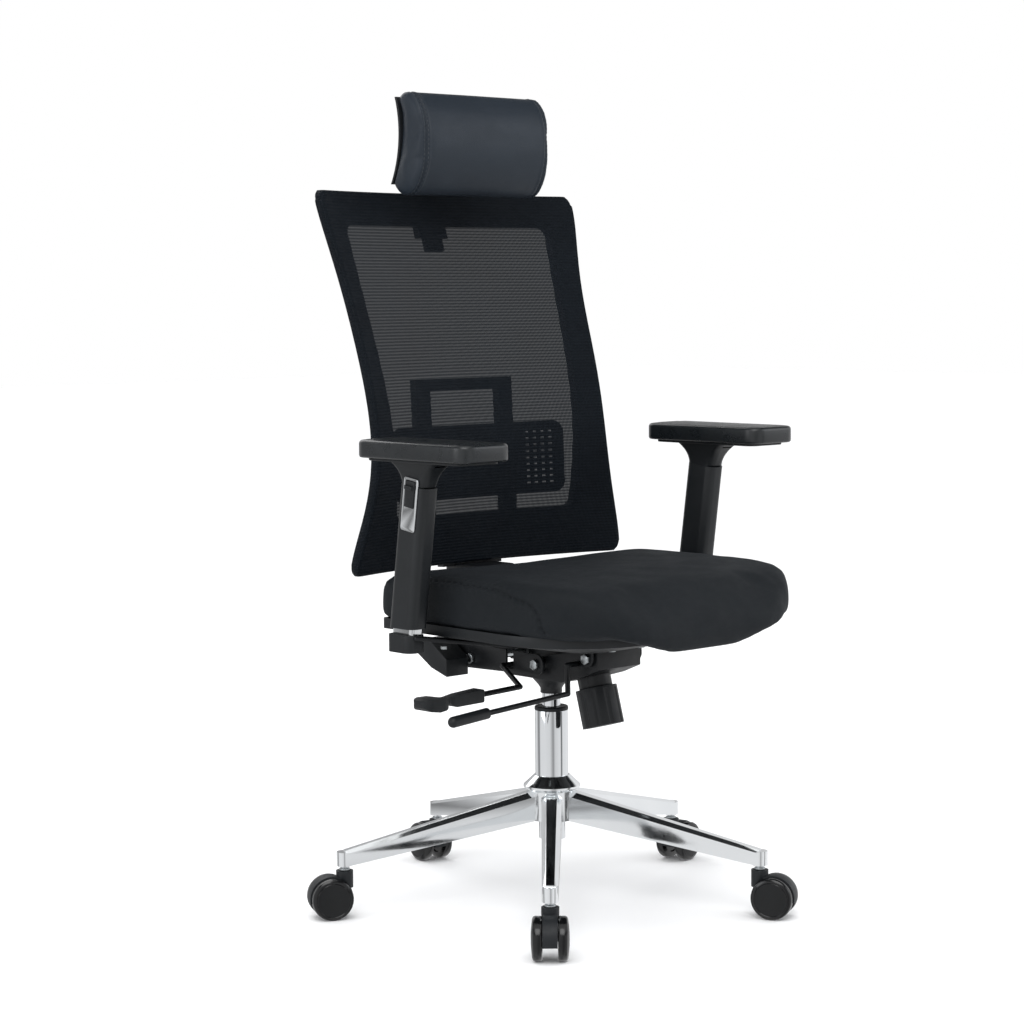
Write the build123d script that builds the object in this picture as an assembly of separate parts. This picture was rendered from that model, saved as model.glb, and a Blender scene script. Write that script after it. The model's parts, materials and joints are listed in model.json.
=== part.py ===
from build123d import *
import os
from math import radians, sin, tan

# Swivel office chair: five-star base, gas lift, synchro tilt mechanism, mesh back,
# headrest and height-adjustable arms. Millimetres, +Z up, sitter faces -Y.
# The origin is on the floor, on the axis of the column.

# ---------------------------------------------------------------- clearances
RUN_FIT = 0.05        # radial running clearance of a pin or shaft
SLIDE_GAP = 0.3       # clearance each side of a sliding piece
FREE_GAP = 2.0        # room round a piece that only passes through

# ---------------------------------------------------------------- casters
CASTERS = 5
WHEEL_R = 31.0
WHEEL_W = 16.0
WHEEL_DOME = 3.0      # how far the outer face bulges
WEB_W = 21.0          # hood web between the two wheels
AXLE_R = 4.0
CASTER_TRAIL = 22.0   # axle to stem axis
STEM_R = 5.5
STEM_IN_HOOD = 22.0
STEM_IN_LEG = 20.0
STEM_COLLAR_R = 8.0
STEM_COLLAR_H = 3.0
NECK_R = 12.7
HOOD_TOP = 70.0
HOOD_LIFT = 25.0      # underside of the hood web above the floor
HOOD_OVER = 1.5       # hood radius beyond the wheel's

# ---------------------------------------------------------------- star base
LEG_REACH = 322.5     # column axis to caster stem
LEG_TURN = 226.3      # direction of the first leg, degrees from +X
LEG_TIP_W = 23.0
LEG_TIP_TOP = 100.0
LEG_TIP_H = 23.0
LEG_ROOT_W = 32.0
LEG_ROOT_H = 47.0
LEG_WALL = 3.5
LEG_BEVEL = 0.24      # share of the width that each top bevel takes
HUB_R = 35.5
HUB_BOTTOM = 127.0
HUB_RIM_R = 43.0
HUB_RIM_Z = 179.0
HUB_TOP = 194.0

# ---------------------------------------------------------------- gas lift
TUBE_R = 25.0
TUBE_WALL = 1.5
TUBE_TOP = 293.0
TUBE_FOOT_Z = 97.0
TUBE_FOOT_R = 20.0
TUBE_TAPER = 1.4      # radius lost over the hub
BUSH_FLANGE = 6.0
BUSH_L = 70.0
LIFT_R = 14.0         # pressure tube
LIFT_WALL = 2.0
LIFT_BOTTOM = 135.0
LIFT_TOP = 362.0
ROD_R = 5.0
PISTON_Z = 262.0
PISTON_H = 10.0
BEARING_R = 12.0
BEARING_H = 6.0
CLIP_H = 2.0
VALVE_R = 3.0
VALVE_TOP = 367.0

# ---------------------------------------------------------------- tilt mechanism
HOUSING_HALF = 44.0
HOUSING_WALL = 3.5
HOUSING_FRONT = -146.0
HOUSING_REAR = 70.0
HOUSING_FLOOR = 346.0
HOUSING_TOP_F = 398.0
HOUSING_TOP_R = 360.0
CONE_TOP_R = 31.0
CONE_MID_R = 19.5
CONE_END_R = 16.5
CONE_MID_Z = 331.0
CONE_END_Z = 319.0
SOCKET_R = 18.5
BACK_PIVOT = (-28.0, 370.0)     # Y, Z of the recline pivot
SEAT_PIVOT = (-130.0, 388.0)    # Y, Z of the seat's front pivot
LINK_PIN = (116.0, 365.0)       # Y, Z of the seat-to-back link
PIVOT_R = 6.0
LINK_R = 5.0
BOLT_HEAD_R = 8.0
BOLT_HEAD_H = 5.0
PIVOT_EYE = 16.0                # radius of the bracket's eye on the recline pivot

# ---------------------------------------------------------------- tension adjuster
KNOB_AXIS_Y = -97.0             # where the knob's axis meets its top
KNOB_AXIS_Z = 337.0
KNOB_TILT = 16.0                # degrees, lower end forward
KNOB_R = 31.0
KNOB_H = 57.0
KNOB_FLUTES = 10
CUP_R = 25.0
CUP_WALL = 3.0
CUP_H = 54.0
SPRING_R = 17.0
SPRING_WIRE = 2.5
SPRING_PITCH = 9.0
SPRING_TURNS = 4.5
TENSION_ROD_R = 4.0

# ---------------------------------------------------------------- levers
LEVER_R = 4.0
LEVER_A_SHAFT = (30.0, 364.0)   # Y, Z where it leaves the housing
LEVER_A_LIFT = 0.9              # slack over the valve pin
LEVER_A_BEND = (-88.0, -27.0, 340.0)
LEVER_A_END = (-177.0, -34.0, 338.5)
PADDLE_TIP = (-297.0, -40.0, 346.0)
LEVER_B_SHAFT = (-105.0, 378.0)
LEVER_B_BEND = (-66.0, -106.0, 336.0)
LEVER_B_END = (-236.0, -110.0, 326.5)
GRIP_TIP = (-300.0, -112.0, 322.0)
GRIP_R = 8.0

# ---------------------------------------------------------------- seat
PLATE_Z = 403.0
PLATE_T = 3.0
PLATE_HALF = 51.0
PLATE_FRONT = -170.0
PLATE_REAR = 130.0
EAR_T = 3.0
SEAT_HALF = 254.0
SEAT_FRONT = -337.0
SEAT_REAR = 113.0
SEAT_TOP = 517.0
SEAT_EDGE = 446.0               # where cushion and pan meet
SEAT_FRONT_R = 150.0            # plan corners of the cushion
SEAT_REAR_R = 20.0
PAN_INSET = 9.0
PAN_WALL = 4.0
PAN_SCREW_R = 4.0
PAN_LIP = 15.0                  # height of the pan's upright lip
PAN_FRONT = -302.0
PAN_FLAT_HALF = 110.0
PAN_FLAT_FRONT = -190.0
ROLL_BOTTOM = 410.0             # underside of the cushion's front roll

# ---------------------------------------------------------------- arms
ARM_X = 292.0
ARM_LEAN = 8.0                  # degrees, leaning forward going up
ARM_FOOT_Y = -13.8              # axis at the foot
ARM_FOOT_Z = 437.0
CAP_H = 25.0
CAP_D = 53.0
CAP_SHIFT = 3.0                 # cap centre, behind the arm's axis
SLEEVE_W = 34.0
SLEEVE_D = 55.0
SLEEVE_R = 13.0                 # corners of the sleeve and its cap
SLEEVE_GAP = 9.5                # inner post seen below the sleeve
SLEEVE_L = 216.0
FLARE_H = 36.0
FLARE_D = 138.0
FLARE_W = 42.0
POST_W = 24.0
POST_D = 44.0
POST_L = 175.0
BEZEL_D = 30.0
BEZEL_H = 76.0
BEZEL_T = 2.0
BEZEL_SHIFT = -3.0              # bezel centre, forward of the sleeve's axis
BEZEL_HEIGHT = 190.0            # bezel centre above the foot, along the axis
BUTTON_HEIGHT = 205.0           # button centre above the foot, along the axis
BUTTON_DEEP = 8.0               # pocket depth
BUTTON_PROUD = 1.5              # button beyond the bezel
LIP_PROUD = 4.0                 # finger lip beyond the button
LIP_H = 6.0
BUTTON_D = 20.0
BUTTON_H = 38.0
BUTTON_PRESS = 3.0
PAD_W = 94.0
PAD_L = 238.0
PAD_T = 25.0
PAD_CORNER = 22.0
PAD_Y = -72.5
PAD_BOTTOM = 689.0
PAD_TRAVEL = 30.0
PAD_PLATE_T = 4.0
TONGUE_W = 20.0
TONGUE_L = 50.0
TONGUE_H = 6.0
ARM_STRAP_W = 56.0
ARM_STRAP_T = 5.0

# ---------------------------------------------------------------- back
BACK_BOTTOM = 506.0
BACK_TOP = 1073.0
# share of the back's height, half width there, Y of the side edges there
BACK_SHAPE = (
    (0.00, 271.0, 125.0),
    (0.12, 256.0, 118.0),
    (0.26, 238.0, 114.5),
    (0.42, 233.0, 124.0),
    (0.64, 236.0, 158.0),
    (0.82, 245.0, 189.5),
    (1.00, 255.0, 221.0),
)
BACK_HOLLOW = 43.0              # how far the middle lies behind the side edges
MESH_T = 2.0
FRAME_T = 14.0
BACK_CORNER = 13.0
WINDOW_TOP = 50.0               # frame band above the window
WINDOW_BOTTOM = 76.0            # frame band below the window
WINDOW_HALF_TOP = 208.0
WINDOW_HALF_BOTTOM = 182.0
WINDOW_CORNER = 14.0
LOOP_HALF = 98.0
LOOP_BAR = 28.0
LOOP_TOP = 789.0
LOOP_FOOT = 560.0
LOOP_Y = 180.0
LOOP_T = 14.0
LOOP_LEAN = 3.2
UPRIGHT_HALF = 36.0
UPRIGHT_Y = 122.0
UPRIGHT_T = 20.0
COVER_HALF = 110.0
COVER_WALL = 3.0
YOKE_REAR = 178.0               # rear edge of the yoke's side plates
SIDE_PLATE_X = 54.0
SIDE_PLATE_T = 4.0
LUMBAR_HALF = 174.0
LUMBAR_BOTTOM = 604.0
LUMBAR_TOP = 717.0
LUMBAR_Y = 168.5
LUMBAR_T = 5.0
LUMBAR_HOLLOW = 23.0
LUMBAR_COLUMNS = 4
LUMBAR_ROWS = 9
SPINE_FOOT = 60.0
SPINE_SCREW_R = 3.0
SOCKET_Y = 277.0                # headrest post in its socket, at SOCKET_Z
SOCKET_Z = 1040.0
SOCKET_SLOPE = 0.3
SOCKET_LOW = 1005.0
SOCKET_HIGH = 1068.0

# ---------------------------------------------------------------- headrest
HEAD_HALF = 132.0
HEAD_FRONT = 137.0
HEAD_BOTTOM = 1068.0
HEAD_TOP = 1222.0
HEAD_HINGE = (226.0, 1130.0)
SHELL_T = 4.0
POST_HALF = 18.0
POST_T = 8.0


def save(name, *solids):
    """Write one node: its solids, kept apart, in one STEP file."""
    shape = solids[0] if len(solids) == 1 else Compound(children=list(solids))
    export_step(shape, f"parts/{name}.step")


def yz_face(points):
    """A closed outline of (Y, Z) points as a face in the plane X = 0."""
    return Plane.YZ * make_face(Polyline(*points, close=True))


def yz_prism(face, x0, x1):
    """A face in the YZ plane, extruded from x0 to x1."""
    return Pos(x0, 0, 0) * extrude(face, amount=x1 - x0, dir=(1, 0, 0))


def x_pin(y, z, radius, x0, x1):
    """A round pin along X."""
    return Pos((x0 + x1) / 2, y, z) * Rot(0, 90, 0) * Cylinder(radius, x1 - x0)


def z_pin(x, y, radius, z0, z1):
    """A round pin along Z."""
    return Pos(x, y, (z0 + z1) / 2) * Cylinder(radius, z1 - z0)


def block(x0, x1, y0, y1, z0, z1):
    """A box between two corners."""
    return Pos((x0 + x1) / 2, (y0 + y1) / 2, (z0 + z1) / 2) * Box(x1 - x0, y1 - y0, z1 - z0)


def rounded_box(x0, x1, y0, y1, z0, z1, radius):
    """A box whose four upright edges are rounded."""
    outline = RectangleRounded(x1 - x0, y1 - y0, radius)
    return Pos((x0 + x1) / 2, (y0 + y1) / 2, z0) * extrude(outline, amount=z1 - z0)


def turned(points):
    """A solid turned about Z from (radius, Z) points."""
    return revolve(Plane.XZ * make_face(Polyline(*points, close=True)), Axis.Z)


def bar(points, radius):
    """A round bar through points, with a ball at each inner corner."""
    solid = None
    for start, end in zip(points, points[1:]):
        a = Vector(*start)
        run = Vector(*end) - a
        piece = Plane(origin=a, z_dir=run) * Pos(0, 0, run.length / 2) * Cylinder(radius, run.length)
        solid = piece if solid is None else solid + piece
    for corner in points[1:-1]:
        solid = solid + Pos(*corner) * Sphere(radius)
    return solid


# ================================================================ base
def leg_section(half, bevel_h, bottom, top):
    """A leg's cross-section: upright sides and a top with two bevels."""
    shoulder = top - bevel_h
    flat = half * (1 - 2 * LEG_BEVEL)
    points = [
        (-half, bottom), (half, bottom), (half, shoulder), (flat, top), (-flat, top), (-half, shoulder),
    ]
    return make_face(Polyline(*points, close=True))


def leg_solid(wall, start, end, drop):
    """A leg from start to end along +X, thinner all round by wall, lower by drop."""
    sections = []
    for reach in (start, end):
        share = reach / LEG_REACH
        half = (LEG_ROOT_W + (LEG_TIP_W - LEG_ROOT_W) * share) / 2 - wall
        top = HUB_RIM_Z + (LEG_TIP_TOP - HUB_RIM_Z) * share - wall
        height = LEG_ROOT_H + (LEG_TIP_H - LEG_ROOT_H) * share
        plane = Plane(origin=(reach, 0, 0), x_dir=(0, 1, 0), z_dir=(1, 0, 0))
        sections.append(plane * leg_section(half, 0.17 * height, top + wall - height - drop, top))
    return loft(sections, ruled=True)


def hub_bore_radius(z):
    """The hub's tapered bore, which is also the tube's outside there."""
    share = min(1.0, max(0.0, (HUB_TOP - z) / (HUB_TOP - HUB_BOTTOM)))
    return TUBE_R - TUBE_TAPER * share


def star_base():
    """Die-cast base: hub, five hollow legs and their stem sockets."""
    outline = [
        (0, HUB_BOTTOM), (HUB_R, HUB_BOTTOM), (HUB_R, HUB_RIM_Z - 8), (HUB_RIM_R, HUB_RIM_Z - 3),
        (HUB_RIM_R, HUB_RIM_Z), (TUBE_R + 2, HUB_TOP), (0, HUB_TOP),
    ]
    solid = turned(outline)
    channel_start = HUB_R + 6
    channel_end = LEG_REACH - LEG_TIP_W / 2 - LEG_WALL
    tip_bottom = LEG_TIP_TOP - LEG_TIP_H
    leg = leg_solid(0, HUB_R - 10, LEG_REACH, 0)
    leg = leg - leg_solid(LEG_WALL, channel_start, channel_end, LEG_ROOT_H)
    leg = leg + z_pin(LEG_REACH, 0, LEG_TIP_W / 2, tip_bottom, LEG_TIP_TOP - 2)
    leg = leg - z_pin(LEG_REACH, 0, STEM_R, tip_bottom - 1, tip_bottom + STEM_IN_LEG)
    for k in range(CASTERS):
        solid = solid + Rot(0, 0, LEG_TURN + 360 / CASTERS * k) * leg
    bore = [(0, HUB_BOTTOM - 1), (hub_bore_radius(HUB_BOTTOM), HUB_BOTTOM - 1),
            (hub_bore_radius(HUB_BOTTOM), HUB_BOTTOM), (TUBE_R, HUB_TOP), (TUBE_R, HUB_TOP + 1),
            (0, HUB_TOP + 1)]
    return solid - turned(bore)


def caster_place(k):
    """The frame of caster k: origin on the floor under its stem, +X outward."""
    turn = LEG_TURN + 360 / CASTERS * k
    return Rot(0, 0, turn) * Pos(LEG_REACH, 0, 0)


def caster_stem():
    """Steel stem with the collar that stands on the hood."""
    stem = z_pin(0, 0, STEM_R, HOOD_TOP - STEM_IN_HOOD, LEG_TIP_TOP - LEG_TIP_H + STEM_IN_LEG)
    return stem + z_pin(0, 0, STEM_COLLAR_R, HOOD_TOP + SLIDE_GAP, HOOD_TOP + SLIDE_GAP + STEM_COLLAR_H)


def caster_hood():
    """Neck, web between the wheels, stem bore and axle bore."""
    axle = (CASTER_TRAIL, WHEEL_R)
    disc = Pos(axle[0], 0, axle[1]) * Rot(90, 0, 0) * Cylinder(WHEEL_R + HOOD_OVER, WEB_W)
    web = disc - block(-60, 90, -30, 30, -20, HOOD_LIFT)
    neck = z_pin(0, 0, NECK_R, HOOD_TOP - STEM_IN_HOOD - 3, HOOD_TOP)
    hood = web + neck
    hood = hood - z_pin(0, 0, STEM_R + RUN_FIT, HOOD_TOP - STEM_IN_HOOD - 0.5, HOOD_TOP + 1)
    bore = Pos(axle[0], 0, axle[1]) * Rot(90, 0, 0) * Cylinder(AXLE_R + RUN_FIT, 2 * WEB_W)
    hood = hood - bore
    for side in (-1, 1):
        pocket = Pos(axle[0], side * (WEB_W / 2 + WHEEL_W / 2 + 0.4), axle[1]) * Rot(90, 0, 0)
        hood = hood - pocket * Cylinder(WHEEL_R + 0.8, WHEEL_W + 0.8)
    return hood


def caster_wheels():
    """Two wheels with domed outer faces, and the axle that joins them."""
    inner = WEB_W / 2 + 0.5
    outer = inner + WHEEL_W - WHEEL_DOME
    profile = [
        (AXLE_R, inner), (WHEEL_R - 2, inner), (WHEEL_R, inner + 2), (WHEEL_R, outer - 2),
        (WHEEL_R - 2, outer),
        (WHEEL_R - 7, outer + 0.4 * WHEEL_DOME), (WHEEL_R / 2, outer + 0.85 * WHEEL_DOME),
        (AXLE_R + 2, outer + WHEEL_DOME), (AXLE_R, outer + WHEEL_DOME),
    ]
    wheel = Rot(-90, 0, 0) * turned(profile)
    place = Pos(CASTER_TRAIL, 0, WHEEL_R)
    axle = place * Rot(90, 0, 0) * Cylinder(AXLE_R, 2 * (outer + WHEEL_DOME) - 1)
    return place * wheel, place * (Rot(0, 0, 180) * wheel), axle


# ================================================================ gas lift
def column_tube():
    """Outer tube: straight, tapered in the hub, with a reduced foot."""
    outer = [
        (0, TUBE_FOOT_Z), (TUBE_FOOT_R, TUBE_FOOT_Z), (TUBE_FOOT_R, HUB_BOTTOM - 4),
        (hub_bore_radius(HUB_BOTTOM), HUB_BOTTOM), (TUBE_R, HUB_TOP), (TUBE_R, TUBE_TOP), (0, TUBE_TOP),
    ]
    floor = TUBE_FOOT_Z + 6
    inner = [
        (0, floor), (TUBE_FOOT_R - 3, floor), (TUBE_FOOT_R - 3, HUB_BOTTOM + 2),
        (TUBE_R - TUBE_TAPER - 3, HUB_BOTTOM + 8), (TUBE_R - TUBE_WALL - 1.5, HUB_TOP - 4),
        (TUBE_R - TUBE_WALL, HUB_TOP), (TUBE_R - TUBE_WALL, TUBE_TOP + 1), (0, TUBE_TOP + 1),
    ]
    return turned(outer) - turned(inner) - z_pin(0, 0, ROD_R + RUN_FIT, TUBE_FOOT_Z - 1, floor + 1)


def column_bush():
    """Plastic guide bush with the black ring that caps the outer tube."""
    inside = LIFT_R + RUN_FIT
    points = [
        (inside, TUBE_TOP - BUSH_L), (TUBE_R - TUBE_WALL, TUBE_TOP - BUSH_L),
        (TUBE_R - TUBE_WALL, TUBE_TOP),
        (TUBE_R + 0.6, TUBE_TOP), (TUBE_R + 0.6, TUBE_TOP + BUSH_FLANGE - 1.5),
        (TUBE_R - 1, TUBE_TOP + BUSH_FLANGE), (inside, TUBE_TOP + BUSH_FLANGE),
    ]
    return turned(points)


def thrust_bearing():
    """Washer-like ball bearing under the shoulder of the piston rod."""
    floor = TUBE_FOOT_Z + 6
    ring = z_pin(0, 0, BEARING_R, floor, floor + BEARING_H)
    return ring - z_pin(0, 0, ROD_R + RUN_FIT, floor - 1, floor + BEARING_H + 1)


def retaining_clip():
    """Spring clip under the outer tube, in the groove of the piston rod."""
    ring = z_pin(0, 0, ROD_R + 5, TUBE_FOOT_Z - CLIP_H, TUBE_FOOT_Z)
    slot = block(-2, 2, 0, ROD_R + 8, TUBE_FOOT_Z - CLIP_H - 1, TUBE_FOOT_Z + 1)
    return ring - slot - z_pin(0, 0, ROD_R + RUN_FIT, TUBE_FOOT_Z - CLIP_H - 1, TUBE_FOOT_Z + 1)


def piston_rod():
    """Rod from the tube's foot up to the piston, with its shoulder."""
    foot = TUBE_FOOT_Z - CLIP_H - 3
    shoulder = TUBE_FOOT_Z + 6 + BEARING_H + SLIDE_GAP
    rod = z_pin(0, 0, ROD_R, foot, PISTON_Z)
    rod = rod + z_pin(0, 0, ROD_R + 4, shoulder, shoulder + 3)
    rod = rod + z_pin(0, 0, ROD_R + 2, foot, foot + 2.5)
    piston = z_pin(0, 0, LIFT_R - LIFT_WALL - RUN_FIT, PISTON_Z, PISTON_Z + PISTON_H)
    return rod + piston


def gas_tube():
    """Pressure tube: rod guide at the bottom, valve block at the top."""
    tube = z_pin(0, 0, LIFT_R, LIFT_BOTTOM, LIFT_TOP)
    chamber = z_pin(0, 0, LIFT_R - LIFT_WALL, LIFT_BOTTOM + 14, LIFT_TOP - 16)
    guide = z_pin(0, 0, ROD_R + RUN_FIT, LIFT_BOTTOM - 1, LIFT_BOTTOM + 15)
    valve = z_pin(0, 0, VALVE_R + RUN_FIT, LIFT_TOP - 12, LIFT_TOP + 1)
    return tube - chamber - guide - valve


def valve_pin():
    """The pin that opens the gas valve when it is pressed."""
    return z_pin(0, 0, VALVE_R, LIFT_TOP - 8, VALVE_TOP)


# ================================================================ tilt mechanism
def knob_frame(offset):
    """Frame on the tension axis: +Z up the axis, origin offset above the knob's top."""
    return Pos(0, KNOB_AXIS_Y, KNOB_AXIS_Z) * Rot(-KNOB_TILT, 0, 0) * Pos(0, 0, offset)


def housing_outline(inset):
    """Side view of the housing's tub."""
    return yz_face([
        (HOUSING_FRONT + inset, HOUSING_TOP_F + inset), (HOUSING_FRONT + inset, HOUSING_FLOOR + 26 + inset),
        (HOUSING_FRONT + 34, HOUSING_FLOOR + 12 + inset), (-70, HOUSING_FLOOR + inset),
        (HOUSING_REAR - 20, HOUSING_FLOOR + inset), (HOUSING_REAR - inset, HOUSING_FLOOR + 10 + inset),
        (HOUSING_REAR - inset, HOUSING_TOP_R + inset), (-112, HOUSING_TOP_F + inset),
    ])


def mechanism_housing():
    """Open-topped tub with the cone socket for the gas lift and its pivot bores."""
    tub = yz_prism(housing_outline(0), -HOUSING_HALF, HOUSING_HALF)
    inner = HOUSING_HALF - HOUSING_WALL
    hollow = yz_prism(housing_outline(HOUSING_WALL), -inner, inner)
    tub = tub - hollow
    cone = turned([
        (0, CONE_END_Z), (CONE_END_R, CONE_END_Z), (CONE_END_R, CONE_MID_Z - 5), (CONE_MID_R, CONE_MID_Z),
        (CONE_TOP_R, HOUSING_FLOOR - 2), (CONE_TOP_R, HOUSING_FLOOR + 1), (SOCKET_R, HOUSING_FLOOR + 3),
        (SOCKET_R, LIFT_TOP - 3), (0, LIFT_TOP - 3),
    ])
    housing = tub + cone - z_pin(0, 0, LIFT_R, CONE_END_Z - 1, LIFT_TOP)
    housing = housing - knob_frame(CUP_H / 2) * Cylinder(CUP_R, CUP_H)
    housing = housing - x_pin(*BACK_PIVOT, PIVOT_R, -60, 60)
    housing = housing - x_pin(*SEAT_PIVOT, PIVOT_R, -60, 60)
    y, z = LEVER_A_SHAFT
    gap = LEVER_R + FREE_GAP
    housing = housing - block(-HOUSING_HALF - 1, -HOUSING_HALF + 5, y - gap, y + gap, z - gap, z + 30)
    y, z = LEVER_B_SHAFT
    return housing - x_pin(y, z, LEVER_R + RUN_FIT, -60, 0)


def spring_cup():
    """Cup below the housing's nose that holds the tension spring."""
    cup = knob_frame(CUP_H / 2) * Cylinder(CUP_R, CUP_H)
    cup = cup - knob_frame(CUP_WALL + CUP_H / 2) * Cylinder(CUP_R - CUP_WALL, CUP_H)
    return cup - knob_frame(0) * Cylinder(TENSION_ROD_R + RUN_FIT, 4 * CUP_WALL)


def tension_spring():
    """Coil spring round the tension rod."""
    height = SPRING_PITCH * SPRING_TURNS
    path = Helix(SPRING_PITCH, height, SPRING_R)
    start = path @ 0
    wire = sweep(Plane(origin=start, z_dir=path % 0) * Circle(SPRING_WIRE), path, is_frenet=True)
    return knob_frame(CUP_WALL + SPRING_WIRE + 0.5) * wire


def hex_bolt(y, z, shank_r, half, shank_half):
    """Cross bolt: round shank with a hexagon head at -X and a nut at +X."""
    pin = x_pin(y, z, shank_r, -shank_half, shank_half)
    for side in (-1, 1):
        x0 = side * half if side > 0 else -half - BOLT_HEAD_H
        head = Pos(x0, y, z) * Rot(0, 90, 0) * extrude(RegularPolygon(BOLT_HEAD_R, 6), amount=BOLT_HEAD_H)
        pin = pin + head
    return pin


def pivot_bolts():
    """The recline pivot and the seat's front pivot."""
    plate_out = SIDE_PLATE_X + SIDE_PLATE_T + SLIDE_GAP
    ear_out = PLATE_HALF + SLIDE_GAP
    recline = hex_bolt(*BACK_PIVOT, PIVOT_R, plate_out, plate_out + 1)
    seat = hex_bolt(*SEAT_PIVOT, PIVOT_R, ear_out, ear_out + 1)
    return recline, seat


def tension_knob():
    """Fluted knob with a blind bore for the tension rod."""
    knob = knob_frame(-KNOB_H / 2 - SLIDE_GAP) * Cylinder(KNOB_R, KNOB_H)
    for k in range(KNOB_FLUTES):
        turn = Rot(0, 0, 360 / KNOB_FLUTES * k)
        groove = knob_frame(-KNOB_H / 2 - 3) * turn * Pos(KNOB_R + 4.5, 0, 0) * Cylinder(6, KNOB_H - 3)
        knob = knob - groove
    return knob - knob_frame(-KNOB_H / 4) * Cylinder(TENSION_ROD_R, KNOB_H / 2 + 2)


def tension_rod():
    """Threaded rod fixed in the knob, with the nut that squeezes the spring."""
    top = CUP_WALL + SPRING_PITCH * SPRING_TURNS + 8
    rod = knob_frame((top - KNOB_H / 2) / 2) * Cylinder(TENSION_ROD_R, top + KNOB_H / 2)
    return rod + knob_frame(top - 1) * Cylinder(SPRING_R + 2, 3)


def height_lever_rod():
    """Bent rod from over the valve pin, out of the housing, to the paddle."""
    y, z = LEVER_A_SHAFT
    tip = (0.0, 0.0, VALVE_TOP + LEVER_R + LEVER_A_LIFT)
    out = (-HOUSING_HALF - 28, y, z)
    return bar([tip, (-HOUSING_HALF + 8, y, z), out, LEVER_A_BEND, LEVER_A_END], LEVER_R)


def height_lever_paddle(rod):
    """Paddle moulded on the lever's end: a square root, a waist and a round spoon."""
    root = Vector(*LEVER_A_END)
    run = Vector(*PADDLE_TIP) - root
    frame = Plane(origin=root, x_dir=run, z_dir=(0, 0, 1))
    length = run.length
    profile = Polyline(
        (-5, -6), (-1, -9.5), (52, -10), (59, -7), (64, -2), (70, -7), (78, -10.5), (length - 28, -12),
        (length - 12, -9.5), (length - 3, -4), (length, 2), (length - 4, 6), (length - 16, 8),
        (length - 34, 7.5), (70, 4.5), (58, 5), (44, 7), (-1, 9.5), (-5, 6), close=True)
    side = Plane(origin=frame.origin, x_dir=frame.x_dir, z_dir=-frame.y_dir)
    solid = extrude(side * make_face(profile), amount=20, both=True)
    block_plan = Pos(28, 0, 0) * RectangleRounded(66, 21, 4)
    waist = Pos(62, 0, 0) * Rectangle(24, 17)
    spoon = Pos(length - 27, 0, 0) * RectangleRounded(54, 36, 17)
    solid = solid & extrude(frame * (block_plan + waist + spoon), amount=24, both=True)
    return solid - rod


def lock_lever_rod():
    """Bent rod of the tilt lock."""
    y, z = LEVER_B_SHAFT
    start = (-HOUSING_HALF + HOUSING_WALL + 2, y, z)
    corner = (LEVER_B_BEND[0], y, z)
    return bar([start, corner, LEVER_B_BEND, LEVER_B_END], LEVER_R)


def lock_lever_grip(rod):
    """Round-ended grip on the tilt lock's rod."""
    root = Vector(*LEVER_B_END)
    tip = Vector(*GRIP_TIP)
    run = (tip - root).normalized()
    inner = root - run * 10
    end = tip - run * GRIP_R
    return bar([tuple(inner), tuple(end)], GRIP_R) + Pos(*end) * Sphere(GRIP_R) - rod


# ================================================================ back support
def lean_frame(height):
    """Frame of the leaning loop: +Z up the loop, origin at its foot plus height."""
    return Pos(0, LOOP_Y, LOOP_FOOT) * Rot(-LOOP_LEAN, 0, 0) * Pos(0, 0, height)


def back_bracket(frame, spine):
    """Yoke that turns on the recline pivot and carries the back."""
    y, z = BACK_PIVOT
    arm = yz_face([
        (y, z - PIVOT_EYE), (150, 349), (YOKE_REAR, 372), (166, 402), (120, 388), (y, z + PIVOT_EYE - 1),
    ])
    arm = arm + Plane.YZ * Pos(y, z) * Circle(PIVOT_EYE)
    solid = None
    for side in (-1, 1):
        x0 = SIDE_PLATE_X if side > 0 else -SIDE_PLATE_X - SIDE_PLATE_T
        plate = yz_prism(arm, x0, x0 + SIDE_PLATE_T)
        solid = plate if solid is None else solid + plate
    beam = yz_face([(146, 352), (YOKE_REAR - 4, 372), (162, 400), (142, 396)])
    solid = solid + yz_prism(beam, -SIDE_PLATE_X - 1, SIDE_PLATE_X + 1)
    front = UPRIGHT_Y
    rear = UPRIGHT_Y + UPRIGHT_T
    shelf = BACK_BOTTOM - 3
    upright = yz_face([
        (146, 360), (172, 380), (rear + 8, 430), (rear + 4, 466), (LOOP_Y + 18, 490), (LOOP_Y + 18, 530),
        (LOOP_Y + 7, 530), (LOOP_Y + 5, shelf), (front, shelf), (front, shelf - 15), (front + 8, 425),
        (142, 390),
    ])
    solid = solid + yz_prism(upright, -UPRIGHT_HALF, UPRIGHT_HALF)
    solid = solid - x_pin(*BACK_PIVOT, PIVOT_R + RUN_FIT, -80, 80)
    solid = solid - x_pin(*LINK_PIN, LINK_R, -80, 80)
    shaft_y, shaft_z = LEVER_A_SHAFT
    gap = LEVER_R + FREE_GAP
    solid = solid - block(-80, 0, shaft_y - gap - 3, shaft_y + gap + 1, shaft_z - gap, shaft_z + 60)
    return solid - frame - spine


def bracket_cover(bracket):
    """Moulded cover: two hollow cheeks beside the yoke, joined behind it."""
    outline = yz_face([(114, 341), (150, 352), (184, 372), (190, 392), (150, 392), (114, 368)])
    solid = yz_prism(outline, -COVER_HALF, COVER_HALF)
    inside = SIDE_PLATE_X + SIDE_PLATE_T + BOLT_HEAD_H + 1 + FREE_GAP
    solid = solid - block(-inside, inside, 0, YOKE_REAR - 4, 300, 420)
    hollow = yz_face([(118, 345), (148, 356), (180, 375), (185, 388), (151, 388), (118, 366)])
    for side in (-1, 1):
        x0, x1 = sorted((side * (inside + COVER_WALL), side * (COVER_HALF - COVER_WALL)))
        solid = solid - yz_prism(hollow, x0, x1)
    return solid - bracket


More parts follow.
